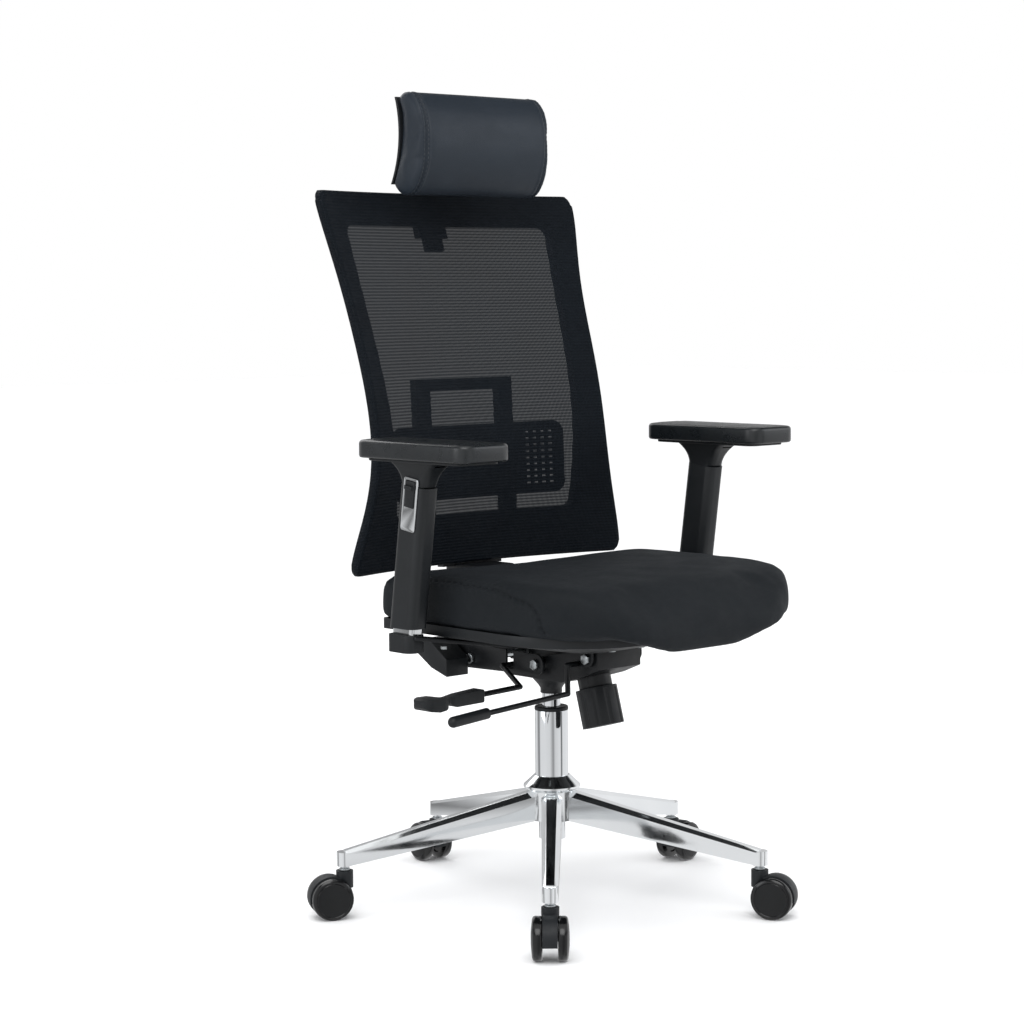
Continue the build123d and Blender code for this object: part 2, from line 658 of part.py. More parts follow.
def link_pin():
    """Pin that carries the seat's rear ears on the yoke."""
    outer = SIDE_PLATE_X + SIDE_PLATE_T
    return hex_bolt(*LINK_PIN, LINK_R, outer, outer + 1)


# ================================================================ seat
def seat_plate():
    """Pressed top plate with front pivot ears and slack rear ears."""
    solid = block(-PLATE_HALF, PLATE_HALF, PLATE_FRONT, PLATE_REAR, PLATE_Z, PLATE_Z + PLATE_T)
    for (y, z), eye in ((SEAT_PIVOT, 12.0), (LINK_PIN, 14.0)):
        ear = yz_face([(y - eye, z), (y + eye, z), (y + eye, PLATE_Z + 1), (y - eye, PLATE_Z + 1)])
        ear = ear + Plane.YZ * Pos(y, z) * Circle(eye)
        for x0 in (-PLATE_HALF, PLATE_HALF - EAR_T):
            solid = solid + yz_prism(ear, x0, x0 + EAR_T)
    solid = solid - x_pin(*SEAT_PIVOT, PIVOT_R + RUN_FIT, -80, 80)
    solid = solid - x_pin(*LINK_PIN, LINK_R + FREE_GAP, -80, 80)
    for x, y in plate_screw_places():
        solid = solid - z_pin(x, y, PAN_SCREW_R, PLATE_Z - 1, PLATE_Z + PLATE_T + 1)
    return solid


def plate_screw_places():
    """The four screws that hold the pan on the plate."""
    return [(x, y) for x in (-30, 30) for y in (PLATE_FRONT + 10, HOUSING_REAR + 12)]


def seat_outline(half, front, rear, front_r, rear_r, z):
    """Seat's outline at one level, with its own corner radius in front and behind."""
    outline = Pos(0, (front + rear) / 2) * Rectangle(2 * half, rear - front)
    outline = fillet(outline.vertices().group_by(Axis.Y)[0], front_r)
    outline = fillet(outline.vertices().group_by(Axis.Y)[-1], rear_r)
    return Pos(0, 0, z) * outline


def pan_solid(wall):
    """The pan's outside, or its inside with a wall's thickness taken off."""
    inset = PAN_INSET + wall
    half = SEAT_HALF - inset
    front = PAN_FRONT + wall
    rear = SEAT_REAR - inset
    front_r = SEAT_FRONT_R - inset
    rear_r = SEAT_REAR_R - inset
    floor = PLATE_Z + PLATE_T + wall
    levels = [
        seat_outline(half, front, rear, front_r, rear_r, SEAT_EDGE),
        seat_outline(half, front, rear, front_r, rear_r, SEAT_EDGE - PAN_LIP),
        seat_outline(PAN_FLAT_HALF - wall, PAN_FLAT_FRONT + wall, rear - 9, 40, 40, floor),
    ]
    return loft(levels, ruled=True)


def seat_pan():
    """Moulded pan under the cushion, open at the top."""
    pan = pan_solid(0) - pan_solid(PAN_WALL)
    for x, y in plate_screw_places():
        pan = pan - z_pin(x, y, PAN_SCREW_R, PLATE_Z, PLATE_Z + PLATE_T + PAN_WALL + 1)
    return pan


def seat_screws():
    """Four pan-head screws through the plate into the pan."""
    screws = []
    for x, y in plate_screw_places():
        shank = z_pin(x, y, PAN_SCREW_R, PLATE_Z - 0.5, PLATE_Z + PLATE_T + PAN_WALL)
        screws.append(shank + z_pin(x, y, PAN_SCREW_R + 2.5, PLATE_Z - 3, PLATE_Z))
    return screws


def seat_cushion():
    """Foam cushion with a waterfall front, as a plain closed solid."""
    top, front, rear = SEAT_TOP, SEAT_FRONT, SEAT_REAR
    side = yz_face([
        (rear - 4, SEAT_EDGE), (rear, top - 45), (rear - 3, top - 29), (rear - 14, top - 15),
        (rear - 38, top - 6),
        (20, top - 2), (-60, top), (-170, top - 1), (front + 70, top - 8), (front + 26, top - 23),
        (front + 4, top - 48), (front, top - 66), (front + 8, ROLL_BOTTOM + 12), (front + 24, ROLL_BOTTOM),
        (PAN_FRONT - 2, ROLL_BOTTOM + 2), (PAN_FRONT - 2, SEAT_EDGE),
    ])
    solid = yz_prism(side, -SEAT_HALF, SEAT_HALF)
    plan = extrude(
        seat_outline(SEAT_HALF, front, rear, SEAT_FRONT_R, SEAT_REAR_R, ROLL_BOTTOM - 5),
        amount=top - ROLL_BOTTOM + 10)
    roll = Plane.XZ * make_face(Polyline(
        (-SEAT_HALF, top + 5), (-SEAT_HALF, SEAT_EDGE), (-175, SEAT_EDGE - 1), (-120, SEAT_EDGE - 14),
        (-60, ROLL_BOTTOM + 5), (60, ROLL_BOTTOM + 5), (120, SEAT_EDGE - 14), (175, SEAT_EDGE - 1),
        (SEAT_HALF, SEAT_EDGE), (SEAT_HALF, top + 5), close=True))
    return solid & plan & extrude(roll, amount=500, both=True)


# ================================================================ arms
def arm_frame(side, height):
    """Frame on an arm's leaning axis: +Z up the axis, from the foot plus height."""
    return Pos(side * ARM_X, ARM_FOOT_Y, ARM_FOOT_Z) * Rot(ARM_LEAN, 0, 0) * Pos(0, 0, height)


def arm_bracket(side):
    """Steel strap from under the pan out to the arm's foot."""
    top = PLATE_Z + PLATE_T
    inner = PLATE_HALF + 9
    points = [
        (inner, top), (PAN_FLAT_HALF, top), (ARM_X + 8, ARM_FOOT_Z - 1),
        (ARM_X + 8, ARM_FOOT_Z - 1 - ARM_STRAP_T),
        (PAN_FLAT_HALF, top - ARM_STRAP_T), (inner, top - ARM_STRAP_T),
    ]
    face = Plane.XZ * make_face(Polyline(*[(side * x, z) for x, z in points], close=True))
    strap = extrude(face, amount=ARM_STRAP_W / 2, both=True)
    return Pos(0, ARM_FOOT_Y, 0) * strap


def arm_post(side):
    """Chromed inner post that the sleeve slides on."""
    return arm_frame(side, -6) * extrude(RectangleRounded(POST_W, POST_D, 6), amount=POST_L + 6)


def arm_end_cap(side, strap, post):
    """Cap that closes the arm's foot over the strap's end."""
    half = SLEEVE_W / 2
    x = side * ARM_X
    y = ARM_FOOT_Y + CAP_SHIFT
    front = y - CAP_D / 2
    rear = y + CAP_D / 2
    cap = rounded_box(x - half, x + half, front, rear, ARM_FOOT_Z - CAP_H, ARM_FOOT_Z, SLEEVE_R)
    return cap - strap - post


def arm_sleeve(side):
    """Outer sleeve: hollow below, flared under the arm pad, with the button's pocket."""
    body = arm_frame(side, 0) * extrude(RectangleRounded(SLEEVE_W, SLEEVE_D, SLEEVE_R), amount=SLEEVE_L)
    top = PAD_BOTTOM - PAD_PLATE_T - SLIDE_GAP
    lean = tan(radians(ARM_LEAN))
    levels = []
    for step in range(8):
        share = step / 7
        z = top - FLARE_H * (1 - share)
        y = ARM_FOOT_Y - (z - ARM_FOOT_Z) * lean
        width = SLEEVE_W - 2 + (FLARE_W - SLEEVE_W + 2) * share ** 2
        depth = SLEEVE_D - 4 + (FLARE_D - SLEEVE_D + 4) * (0.35 * share + 0.65 * share ** 3)
        levels.append(Pos(side * ARM_X, y, z) * RectangleRounded(width, depth, SLEEVE_R))
    body = body + loft(levels, ruled=True)
    foot = ARM_FOOT_Z + SLEEVE_GAP
    body = body - block(side * ARM_X - 40, side * ARM_X + 40, -80, 80, ARM_FOOT_Z - 20, foot)
    hollow = RectangleRounded(POST_W + 2 * SLIDE_GAP, POST_D + 2 * SLIDE_GAP, 6 + SLIDE_GAP)
    body = body - arm_frame(side, -1) * extrude(hollow, amount=POST_L + 12)
    body = body - button_block(side, SLIDE_GAP, BUTTON_DEEP, 4)
    slot_half = TONGUE_L / 2 + PAD_TRAVEL + SLIDE_GAP
    x = side * ARM_X
    half = TONGUE_W / 2 + SLIDE_GAP
    y = tongue_y()
    return body - block(x - half, x + half, y - slot_half, y + slot_half, top - TONGUE_H - 1, top + 1)


def button_block(side, gap, depth, proud):
    """The button's block, from depth below the sleeve's outer face to proud of it."""
    offset = SLEEVE_W / 2 + (proud - depth) / 2
    place = arm_frame(side, BUTTON_HEIGHT) * Pos(side * offset, BEZEL_SHIFT, 0)
    return place * Box(depth + proud, BUTTON_D + 2 * gap, BUTTON_H + 2 * gap)


def arm_bezel(side, sleeve):
    """Chromed plate round the button."""
    place = arm_frame(side, BEZEL_HEIGHT) * Pos(side * SLEEVE_W / 2, BEZEL_SHIFT, 0) * Rot(0, side * 90, 0)
    plate = place * extrude(RectangleRounded(BEZEL_H, BEZEL_D, 4), amount=BEZEL_T)
    return plate - button_block(side, SLIDE_GAP, 1, BEZEL_T + 1) - sleeve


def arm_button(side):
    """Height release button with its finger lip."""
    depth = BUTTON_DEEP - BUTTON_PRESS - SLIDE_GAP
    button = button_block(side, 0, depth, BEZEL_T + BUTTON_PROUD)
    offset = SLEEVE_W / 2 + BEZEL_T + BUTTON_PROUD + LIP_PROUD / 2
    lip = arm_frame(side, BUTTON_HEIGHT + BUTTON_H / 4) * Pos(side * offset, BEZEL_SHIFT, 0)
    return button + lip * Box(LIP_PROUD, BUTTON_D - 4, LIP_H)


def tongue_y():
    """Middle of the pad plate's tongue: over the sleeve's top."""
    return ARM_FOOT_Y - (PAD_BOTTOM - PAD_PLATE_T - ARM_FOOT_Z) * tan(radians(ARM_LEAN))


def arm_pad_plate(side):
    """Carrier under the pad, with the tongue that guides it fore and aft."""
    x = side * ARM_X
    low = PAD_BOTTOM - PAD_PLATE_T
    half = PAD_W / 2 - 9
    reach = PAD_L / 2 - 16
    plate = rounded_box(x - half, x + half, PAD_Y - reach, PAD_Y + reach, low, PAD_BOTTOM, 14)
    y = tongue_y()
    return plate + block(x - TONGUE_W / 2, x + TONGUE_W / 2, y - TONGUE_L / 2, y + TONGUE_L / 2,
                         low - TONGUE_H, low + 1)


def arm_pad(side):
    """Soft arm pad."""
    x = side * ARM_X
    return rounded_box(x - PAD_W / 2, x + PAD_W / 2, PAD_Y - PAD_L / 2, PAD_Y + PAD_L / 2,
                       PAD_BOTTOM, PAD_BOTTOM + PAD_T, PAD_CORNER)


# ================================================================ back
def back_slab(front, thick):
    """The back's curved sheet, from front behind the mesh's face, thick deep."""
    sections = []
    for share, half, edge in BACK_SHAPE:
        z = BACK_BOTTOM + (BACK_TOP - BACK_BOTTOM) * share
        y0 = edge + front
        y1 = y0 + thick
        front_arc = ThreePointArc((-half, y0), (0, y0 + BACK_HOLLOW), (half, y0))
        right = Line((half, y0), (half, y1))
        rear_arc = ThreePointArc((half, y1), (0, y1 + BACK_HOLLOW), (-half, y1))
        left = Line((-half, y1), (-half, y0))
        sections.append(Pos(0, 0, z) * make_face([front_arc, right, rear_arc, left]))
    return loft(sections) - corner_waste()


def corner_waste():
    """What rounding takes off the back's four corners, as prisms along Y."""
    height = BACK_TOP - BACK_BOTTOM
    side = Spline(*[(half, BACK_BOTTOM + height * share) for share, half, _ in BACK_SHAPE])
    waste = []
    for corner, up in ((side @ 0, side % 0), (side @ 1, side % 1 * -1)):
        across = Vector(-1, 0, 0)
        half_angle = radians(across.get_angle(up)) / 2
        reach = BACK_CORNER / tan(half_angle)
        middle = (across + up).normalized() * (BACK_CORNER / sin(half_angle))
        outline = [corner + across * reach, corner + across * reach - up * 5, corner - (across + up) * 5,
                   corner + up * reach - across * 5, corner + up * reach]
        centre = corner + middle
        for flip in (-1, 1):
            points = [(flip * point.X, point.Y) for point in outline]
            chip = make_face(Polyline(*points, close=True))
            chip = chip - Pos(flip * centre.X, centre.Y) * Circle(BACK_CORNER)
            waste.append(y_prism(chip, 0, 400))
    return waste


def y_prism(sketch, y0, y1):
    """A sketch drawn in X and Z, extruded from y0 to y1."""
    return Pos(0, y1, 0) * extrude(Plane.XZ * sketch, amount=y1 - y0)


def back_mesh():
    """Mesh cloth stretched over the front of the frame."""
    return back_slab(0, MESH_T)


def back_frame():
    """Moulded frame: curved rim, window and the headrest's socket."""
    solid = back_slab(MESH_T, FRAME_T)
    window = make_face(Polyline(
        (-WINDOW_HALF_TOP, BACK_TOP - WINDOW_TOP), (WINDOW_HALF_TOP, BACK_TOP - WINDOW_TOP),
        (WINDOW_HALF_BOTTOM, BACK_BOTTOM + WINDOW_BOTTOM),
        (-WINDOW_HALF_BOTTOM, BACK_BOTTOM + WINDOW_BOTTOM),
        close=True))
    window = fillet(window.vertices(), WINDOW_CORNER)
    solid = solid - y_prism(window, 0, 400)
    boss = yz_face([
        (socket_y(SOCKET_LOW) - 6, SOCKET_LOW), (socket_y(SOCKET_LOW) + 8, SOCKET_LOW),
        (socket_y(SOCKET_HIGH) + 8, SOCKET_HIGH), (socket_y(SOCKET_HIGH) - 6, SOCKET_HIGH),
    ])
    solid = solid + (yz_prism(boss, -POST_HALF - 10, POST_HALF + 10) - back_slab(-60, 60 + MESH_T))
    line = [(socket_y(z), z) for z in (SOCKET_LOW - 20, SOCKET_HIGH + 20)]
    slot = post_strip(POST_T + 2 * SLIDE_GAP, line)
    solid = solid - yz_prism(slot, -POST_HALF - SLIDE_GAP, POST_HALF + SLIDE_GAP)
    return solid - screw_shanks()


def socket_y(z):
    """Middle of the headrest post at height z, inside its socket."""
    return SOCKET_Y + (z - SOCKET_Z) * SOCKET_SLOPE


def post_strip(width, points):
    """A strip of the given width along a path of (Y, Z) points."""
    return Plane.YZ * trace(Polyline(*points), width)


def back_spine(frame):
    """Leaning loop that stiffens the back and carries the lumbar pad, with its foot."""
    height = LOOP_TOP - LOOP_FOOT
    ring = Pos(0, 0, height / 2) * Box(2 * LOOP_HALF, LOOP_T, height)
    ring = ring - Pos(0, 0, height / 2 - 2) * Box(2 * (LOOP_HALF - LOOP_BAR), 2 * LOOP_T, height - 32)
    foot = Pos(0, 0, -SPINE_FOOT / 2 + 1) * Box(120, LOOP_T, SPINE_FOOT + 2)
    loop = lean_frame(0) * Pos(0, LOOP_T / 2, 0) * (ring + foot)
    return loop - frame - screw_shanks()


def screw_places():
    """X and Z of the screws that hold the spine's foot on the frame."""
    return [(x, z) for x in (-46, 46) for z in (LOOP_FOOT - 32, LOOP_FOOT - 10)]


def y_pin(x, z, radius, y0, y1):
    """A round pin along Y."""
    return Pos(x, (y0 + y1) / 2, z) * Rot(90, 0, 0) * Cylinder(radius, y1 - y0)


def screw_shanks():
    """Shanks of the spine's screws, as one solid body to cut with."""
    shanks = [y_pin(x, z, SPINE_SCREW_R, LOOP_Y - 8, LOOP_Y + LOOP_T + 2) for x, z in screw_places()]
    return shanks[0] + shanks[1] + shanks[2] + shanks[3]


def back_screws(spine):
    """Four screws through the spine's foot into the frame."""
    screws = []
    for x, z in screw_places():
        shank = y_pin(x, z, SPINE_SCREW_R, LOOP_Y - 8, LOOP_Y + LOOP_T)
        head = y_pin(x, z, SPINE_SCREW_R + 2.5, LOOP_Y + LOOP_T - 2, LOOP_Y + LOOP_T + 2)
        screws.append(shank + (head - spine))
    return screws


def lumbar_arc(y):
    """The lumbar pad's curve seen from above, a little wider than the pad."""
    half = LUMBAR_HALF + 6
    return ThreePointArc((-half, y - LUMBAR_HOLLOW), (0, y), (half, y - LUMBAR_HOLLOW))


def lumbar_plate(y0, y1, low, high):
    """What lies between two of those curves, from low to high."""
    near = lumbar_arc(y0)
    far = lumbar_arc(y1)
    section = make_face([near, Line(near @ 1, far @ 1), far, Line(far @ 0, near @ 0)])
    return Pos(0, 0, low) * extrude(section, amount=high - low)


def lumbar_pad():
    """Curved, slotted pad in front of the loop, with guides that run on its bars."""
    low = LUMBAR_BOTTOM - LOOP_FOOT
    high = LUMBAR_TOP - LOOP_FOOT
    y0 = LUMBAR_Y - LOOP_Y
    middle = (low + high) / 2
    outline = RectangleRounded(2 * LUMBAR_HALF, high - low, 18)
    pad = lumbar_plate(y0, y0 + LUMBAR_T, low - 5, high + 5) & y_prism(Pos(0, middle) * outline, -80, 60)
    slots = []
    for side in (-1, 1):
        for column in range(LUMBAR_COLUMNS):
            for row in range(LUMBAR_ROWS):
                x = side * (LUMBAR_HALF - 22 - 14 * column)
                z = middle + (row - (LUMBAR_ROWS - 1) / 2) * 10
                slots.append(Pos(x, 0, z) * Box(9, 120, 3))
    pad = pad - slots
    ahead = lumbar_plate(y0 - 60, y0 + LUMBAR_T / 2, low, high)
    for side in (-1, 1):
        x = side * (LOOP_HALF - LOOP_BAR / 2)
        guide = block(x - 8, x + 8, y0 - 14, -SLIDE_GAP, middle - 25, middle + 25)
        outer = side * (LOOP_HALF + SLIDE_GAP + 2.5)
        hook = block(outer - 2.5, outer + 2.5, y0 - 14, LOOP_T - 2, middle - 18, middle + 18)
        pad = pad + (guide - ahead) + (hook - ahead)
    return lean_frame(0) * pad


# ================================================================ headrest
def headrest_post():
    """Bent strip that slides in the frame's socket and carries the tilt pins."""
    y, z = HEAD_HINGE
    bend = SOCKET_HIGH + 16
    path = [(socket_y(SOCKET_LOW - 20), SOCKET_LOW - 20), (socket_y(bend), bend), (y + 42, z - 16), (y, z)]
    post = yz_prism(post_strip(POST_T, path), -POST_HALF, POST_HALF)
    post = post + x_pin(y, z, 9, -POST_HALF, POST_HALF)
    return post + x_pin(y, z, LINK_R, -POST_HALF - 9, POST_HALF + 9)


def shell_arc(offset):
    """Side view of the shell's front face, moved back by offset."""
    y = HEAD_FRONT + offset
    return ThreePointArc((y + 55, HEAD_TOP - 8), (y + 47, HEAD_BOTTOM + 82), (y + 66, HEAD_BOTTOM + 16))


def headrest_shell():
    """Curved back shell with the two ears of the tilt hinge."""
    front = shell_arc(0)
    rear = shell_arc(SHELL_T)
    face = Plane.YZ * make_face([front, Line(front @ 1, rear @ 1), rear, Line(rear @ 0, front @ 0)])
    shell = yz_prism(face, -HEAD_HALF + 1, HEAD_HALF - 1)
    y, z = HEAD_HINGE
    ear = yz_face([(HEAD_FRONT + 48, z - 22), (y, z - 9), (y, z + 9), (HEAD_FRONT + 48, z + 34)])
    ear = ear + Plane.YZ * Pos(y, z) * Circle(9)
    for x0 in (-POST_HALF - 8.5, POST_HALF + 0.5):
        shell = shell + yz_prism(ear, x0, x0 + 8)
    return shell - x_pin(y, z, LINK_R + RUN_FIT, -60, 60)


def headrest_cushion(shell):
    """Padded front of the headrest, as a plain closed solid."""
    rear = shell_arc(0)
    front = Spline(rear @ 1, (HEAD_FRONT + 30, HEAD_BOTTOM), (HEAD_FRONT + 6, HEAD_BOTTOM + 28),
                   (HEAD_FRONT, HEAD_BOTTOM + 84), (HEAD_FRONT + 10, HEAD_TOP - 18),
                   (HEAD_FRONT + 34, HEAD_TOP), rear @ 0)
    face = Plane.YZ * make_face([rear, front])
    return yz_prism(face, -HEAD_HALF, HEAD_HALF) - shell


def build():
    """Make every node and write its STEP file."""
    os.makedirs("parts", exist_ok=True)
    save("star_base", star_base())
    save("column_tube", column_tube())
    save("column_bush", column_bush())
    save("thrust_bearing", thrust_bearing())
    save("retaining_clip", retaining_clip())
    save("caster_stems", *[caster_place(k) * caster_stem() for k in range(CASTERS)])
    for k in range(CASTERS):
        place = caster_place(k)
        save(f"caster_hood_{k + 1}", place * caster_hood())
        save(f"caster_wheels_{k + 1}", *[place * solid for solid in caster_wheels()])
    save("piston_rod", piston_rod())
    save("gas_tube", gas_tube())
    save("valve_pin", valve_pin())
    save("mechanism_housing", mechanism_housing())
    save("spring_cup", spring_cup())
    save("tension_spring", tension_spring())
    save("pivot_bolts", *pivot_bolts())
    save("tension_knob", tension_knob())
    save("tension_rod", tension_rod())
    height_rod = height_lever_rod()
    save("height_lever_rod", height_rod)
    save("height_lever_paddle", height_lever_paddle(height_rod))
    lock_rod = lock_lever_rod()
    save("lock_lever_rod", lock_rod)
    save("lock_lever_grip", lock_lever_grip(lock_rod))
    save("seat_plate", seat_plate())
    save("seat_pan", seat_pan())
    save("seat_screws", *seat_screws())
    save("seat_cushion", seat_cushion())
    for side, word in ((-1, "right"), (1, "left")):
        strap = arm_bracket(side)
        post = arm_post(side)
        cap = arm_end_cap(side, strap, post)
        save(f"arm_bracket_{word}", strap - post)
        save(f"arm_post_{word}", post)
        save(f"arm_end_cap_{word}", cap)
        sleeve = arm_sleeve(side)
        save(f"arm_sleeve_{word}", sleeve)
        save(f"arm_bezel_{word}", arm_bezel(side, sleeve))
        save(f"arm_button_{word}", arm_button(side))
        save(f"arm_pad_plate_{word}", arm_pad_plate(side))
        save(f"arm_pad_{word}", arm_pad(side))
    frame = back_frame()
    spine = back_spine(frame)
    save("back_frame", frame)
    save("back_mesh", back_mesh())
    save("back_spine", spine)
    save("back_screws", *back_screws(spine))
    bracket = back_bracket(frame, spine)
    save("back_bracket", bracket)
    save("bracket_cover", bracket_cover(bracket))
    save("link_pin", link_pin())
    save("lumbar_pad", lumbar_pad())
    shell = headrest_shell()
    save("headrest_post", headrest_post())
    save("headrest_shell", shell)
    save("headrest_cushion", headrest_cushion(shell))


if __name__ == "__main__":
    build()
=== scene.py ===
import json
import logging
import math
from contextlib import contextmanager
from dataclasses import dataclass, field
from enum import Enum
from typing import Callable, Iterator, Optional, Sequence

import bmesh
import bpy
import numpy as np
from mathutils import Matrix, Vector

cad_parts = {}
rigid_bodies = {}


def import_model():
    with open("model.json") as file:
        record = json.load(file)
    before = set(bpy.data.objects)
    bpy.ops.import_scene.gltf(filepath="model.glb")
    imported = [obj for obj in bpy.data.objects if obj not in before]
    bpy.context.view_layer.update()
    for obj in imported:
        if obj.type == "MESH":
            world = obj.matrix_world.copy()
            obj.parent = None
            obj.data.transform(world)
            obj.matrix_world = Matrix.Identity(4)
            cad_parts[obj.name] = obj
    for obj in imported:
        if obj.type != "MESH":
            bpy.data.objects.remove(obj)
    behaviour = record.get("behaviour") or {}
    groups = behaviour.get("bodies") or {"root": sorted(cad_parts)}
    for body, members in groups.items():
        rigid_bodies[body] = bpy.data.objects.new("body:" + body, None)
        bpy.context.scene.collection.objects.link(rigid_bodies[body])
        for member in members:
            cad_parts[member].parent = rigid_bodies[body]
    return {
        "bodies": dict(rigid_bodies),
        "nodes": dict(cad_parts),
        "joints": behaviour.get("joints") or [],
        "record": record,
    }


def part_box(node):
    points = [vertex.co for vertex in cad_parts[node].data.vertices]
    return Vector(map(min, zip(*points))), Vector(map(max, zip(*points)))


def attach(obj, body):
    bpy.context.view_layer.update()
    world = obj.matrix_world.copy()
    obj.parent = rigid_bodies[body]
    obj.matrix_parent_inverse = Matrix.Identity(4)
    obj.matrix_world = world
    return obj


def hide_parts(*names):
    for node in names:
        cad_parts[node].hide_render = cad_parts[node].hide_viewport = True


LOG = logging.getLogger("chair")
MM = 0.001
SIDES = {"right": -1, "left": 1}


# ---------------------------------------------------------------- node and colour helpers
def linear(hex_colour: str) -> tuple[float, float, float, float]:
    """Turns an sRGB hex colour into linear red, green, blue and alpha.

    Args:
        hex_colour: the colour as "#rrggbb".

    Returns:
        The four linear values.
    """
    parts = [int(hex_colour[i:i + 2], 16) / 255 for i in (1, 3, 5)]
    values = [c / 12.92 if c <= 0.04045 else ((c + 0.055) / 1.055) ** 2.4 for c in parts]
    return (values[0], values[1], values[2], 1.0)


def add_node(tree: bpy.types.NodeTree, kind: str, settings: Optional[dict] = None,
             links: Optional[dict] = None) -> bpy.types.Node:
    """Adds a node, sets its properties and sockets, and links its inputs.

    Args:
        tree: the node tree that takes the node.
        kind: the node's type.
        settings: property names, input names or input numbers, with their values.
        links: input names or numbers, with the output socket each one takes.

    Returns:
        The new node.
    """
    node = tree.nodes.new(kind)
    for key, value in (settings or {}).items():
        if isinstance(key, int) or key in node.inputs:
            node.inputs[key].default_value = value
        else:
            setattr(node, key, value)
    for key, socket in (links or {}).items():
        tree.links.new(socket, node.inputs[key])
    return node


# ---------------------------------------------------------------- finishes
class Grain(Enum):
    """How a surface is broken up close to."""

    MOULDED = "moulded"        # spark-eroded tool, fine random pits
    PEEL = "orange peel"       # powder coat
    HIDE = "hide"              # leather cells
    POLISHED = "polished"      # nearly smooth, long faint waves
    BRUSHED = "brushed"        # long scratches one way
    WOVEN = "woven"            # over and under threads, on the UV map
    KNIT = "knit"              # ribbed open mesh, on the UV map


@dataclass(frozen=True)
class Finish:
    """One material: what it is made of and how its surface was made."""

    name: str
    colour: str
    drift: str
    roughness: tuple[float, float]
    metallic: float = 0.0
    ior: float = 1.5
    specular: float = 0.5
    grain: Grain = Grain.MOULDED
    grain_mm: float = 0.8
    depth_mm: float = 0.03
    drift_mm: float = 70.0
    coat: float = 0.0
    sheen: float = 0.0
    sheen_colour: str = "#8a939d"
    stretch: tuple[float, float, float] = (1.0, 1.0, 1.0)

    def material(self) -> bpy.types.Material:
        """Returns this finish's material, made the first time it is asked for."""
        found = bpy.data.materials.get(self.name)
        if found is not None:
            return found
        made = bpy.data.materials.new(self.name)
        made.use_nodes = True
        tree = made.node_tree
        tree.nodes.clear()
        shader = add_node(tree, "ShaderNodeBsdfPrincipled", {
            "Metallic": self.metallic, "IOR": self.ior, "Specular IOR Level": self.specular,
            "Coat Weight": self.coat, "Coat Roughness": 0.08,
            "Sheen Weight": self.sheen, "Sheen Roughness": 0.45, "Sheen Tint": linear(self.sheen_colour)})
        add_node(tree, "ShaderNodeOutputMaterial", links={"Surface": shader.outputs[0]})
        coordinates = add_node(tree, "ShaderNodeTexCoord")
        place = coordinates.outputs["Object"]
        broad = add_node(tree, "ShaderNodeTexNoise", {"Scale": 1000 / self.drift_mm, "Detail": 4.0},
                         {"Vector": place})
        shades = {"data_type": "RGBA", 6: linear(self.colour), 7: linear(self.drift)}
        colour = add_node(tree, "ShaderNodeMix", shades, {0: broad.outputs["Fac"]})
        tree.links.new(colour.outputs[2], shader.inputs["Base Color"])
        spots = {"Scale": 3500 / self.drift_mm, "Detail": 6.0, "Roughness": 0.65}
        wear = add_node(tree, "ShaderNodeTexNoise", spots, {"Vector": place})
        least, most = self.roughness
        gloss = add_node(tree, "ShaderNodeMapRange", {1: 0.3, 2: 0.7, 3: least, 4: most},
                         {0: wear.outputs["Fac"]})
        tree.links.new(gloss.outputs[0], shader.inputs["Roughness"])
        self.surface(tree, coordinates, shader)
        return made

    def surface(self, tree: bpy.types.NodeTree, coordinates: bpy.types.Node, shader: bpy.types.Node) -> None:
        """Adds the close-up relief.

        Args:
            tree: the material's node tree.
            coordinates: its texture coordinate node.
            shader: its surface shader.
        """
        mapped = add_node(tree, "ShaderNodeMapping", {"Scale": self.stretch},
                          {"Vector": coordinates.outputs["Object"]})
        scale = 1000 / self.grain_mm
        if self.grain is Grain.HIDE:
            cells = add_node(tree, "ShaderNodeTexVoronoi", {"feature": "DISTANCE_TO_EDGE", "Scale": scale},
                             {"Vector": mapped.outputs[0]})
            height = add_node(tree, "ShaderNodeMapRange", {1: 0.0, 2: 0.28, 3: 0.0, 4: 1.0},
                              {0: cells.outputs["Distance"]}).outputs[0]
        else:
            detail = 1.0 if self.grain in (Grain.PEEL, Grain.POLISHED) else 3.0
            height = add_node(tree, "ShaderNodeTexNoise", {"Scale": scale, "Detail": detail},
                              {"Vector": mapped.outputs[0]}).outputs["Fac"]
        bump = add_node(tree, "ShaderNodeBump", {"Strength": 1.0, "Distance": self.depth_mm * MM},
                        {"Height": height})
        tree.links.new(bump.outputs[0], shader.inputs["Normal"])


def wave(tree: bpy.types.NodeTree, source: bpy.types.NodeSocket, pitch_mm: float,
         shift: float = 0.0) -> bpy.types.NodeSocket:
    """A sine from 0 to 1 along one coordinate.

    Args:
        tree: the material's node tree.
        source: the coordinate, in metres.
        pitch_mm: the wave's length.
        shift: its start, in radians.

    Returns:
        The wave's socket.
    """
    turns = {"operation": "MULTIPLY_ADD", 1: 2 * math.pi / (pitch_mm * MM), 2: shift}
    angle = add_node(tree, "ShaderNodeMath", turns, {0: source})
    sine = add_node(tree, "ShaderNodeMath", {"operation": "SINE"}, {0: angle.outputs[0]})
    halved = {"operation": "MULTIPLY_ADD", 1: 0.5, 2: 0.5}
    return add_node(tree, "ShaderNodeMath", halved, {0: sine.outputs[0]}).outputs[0]


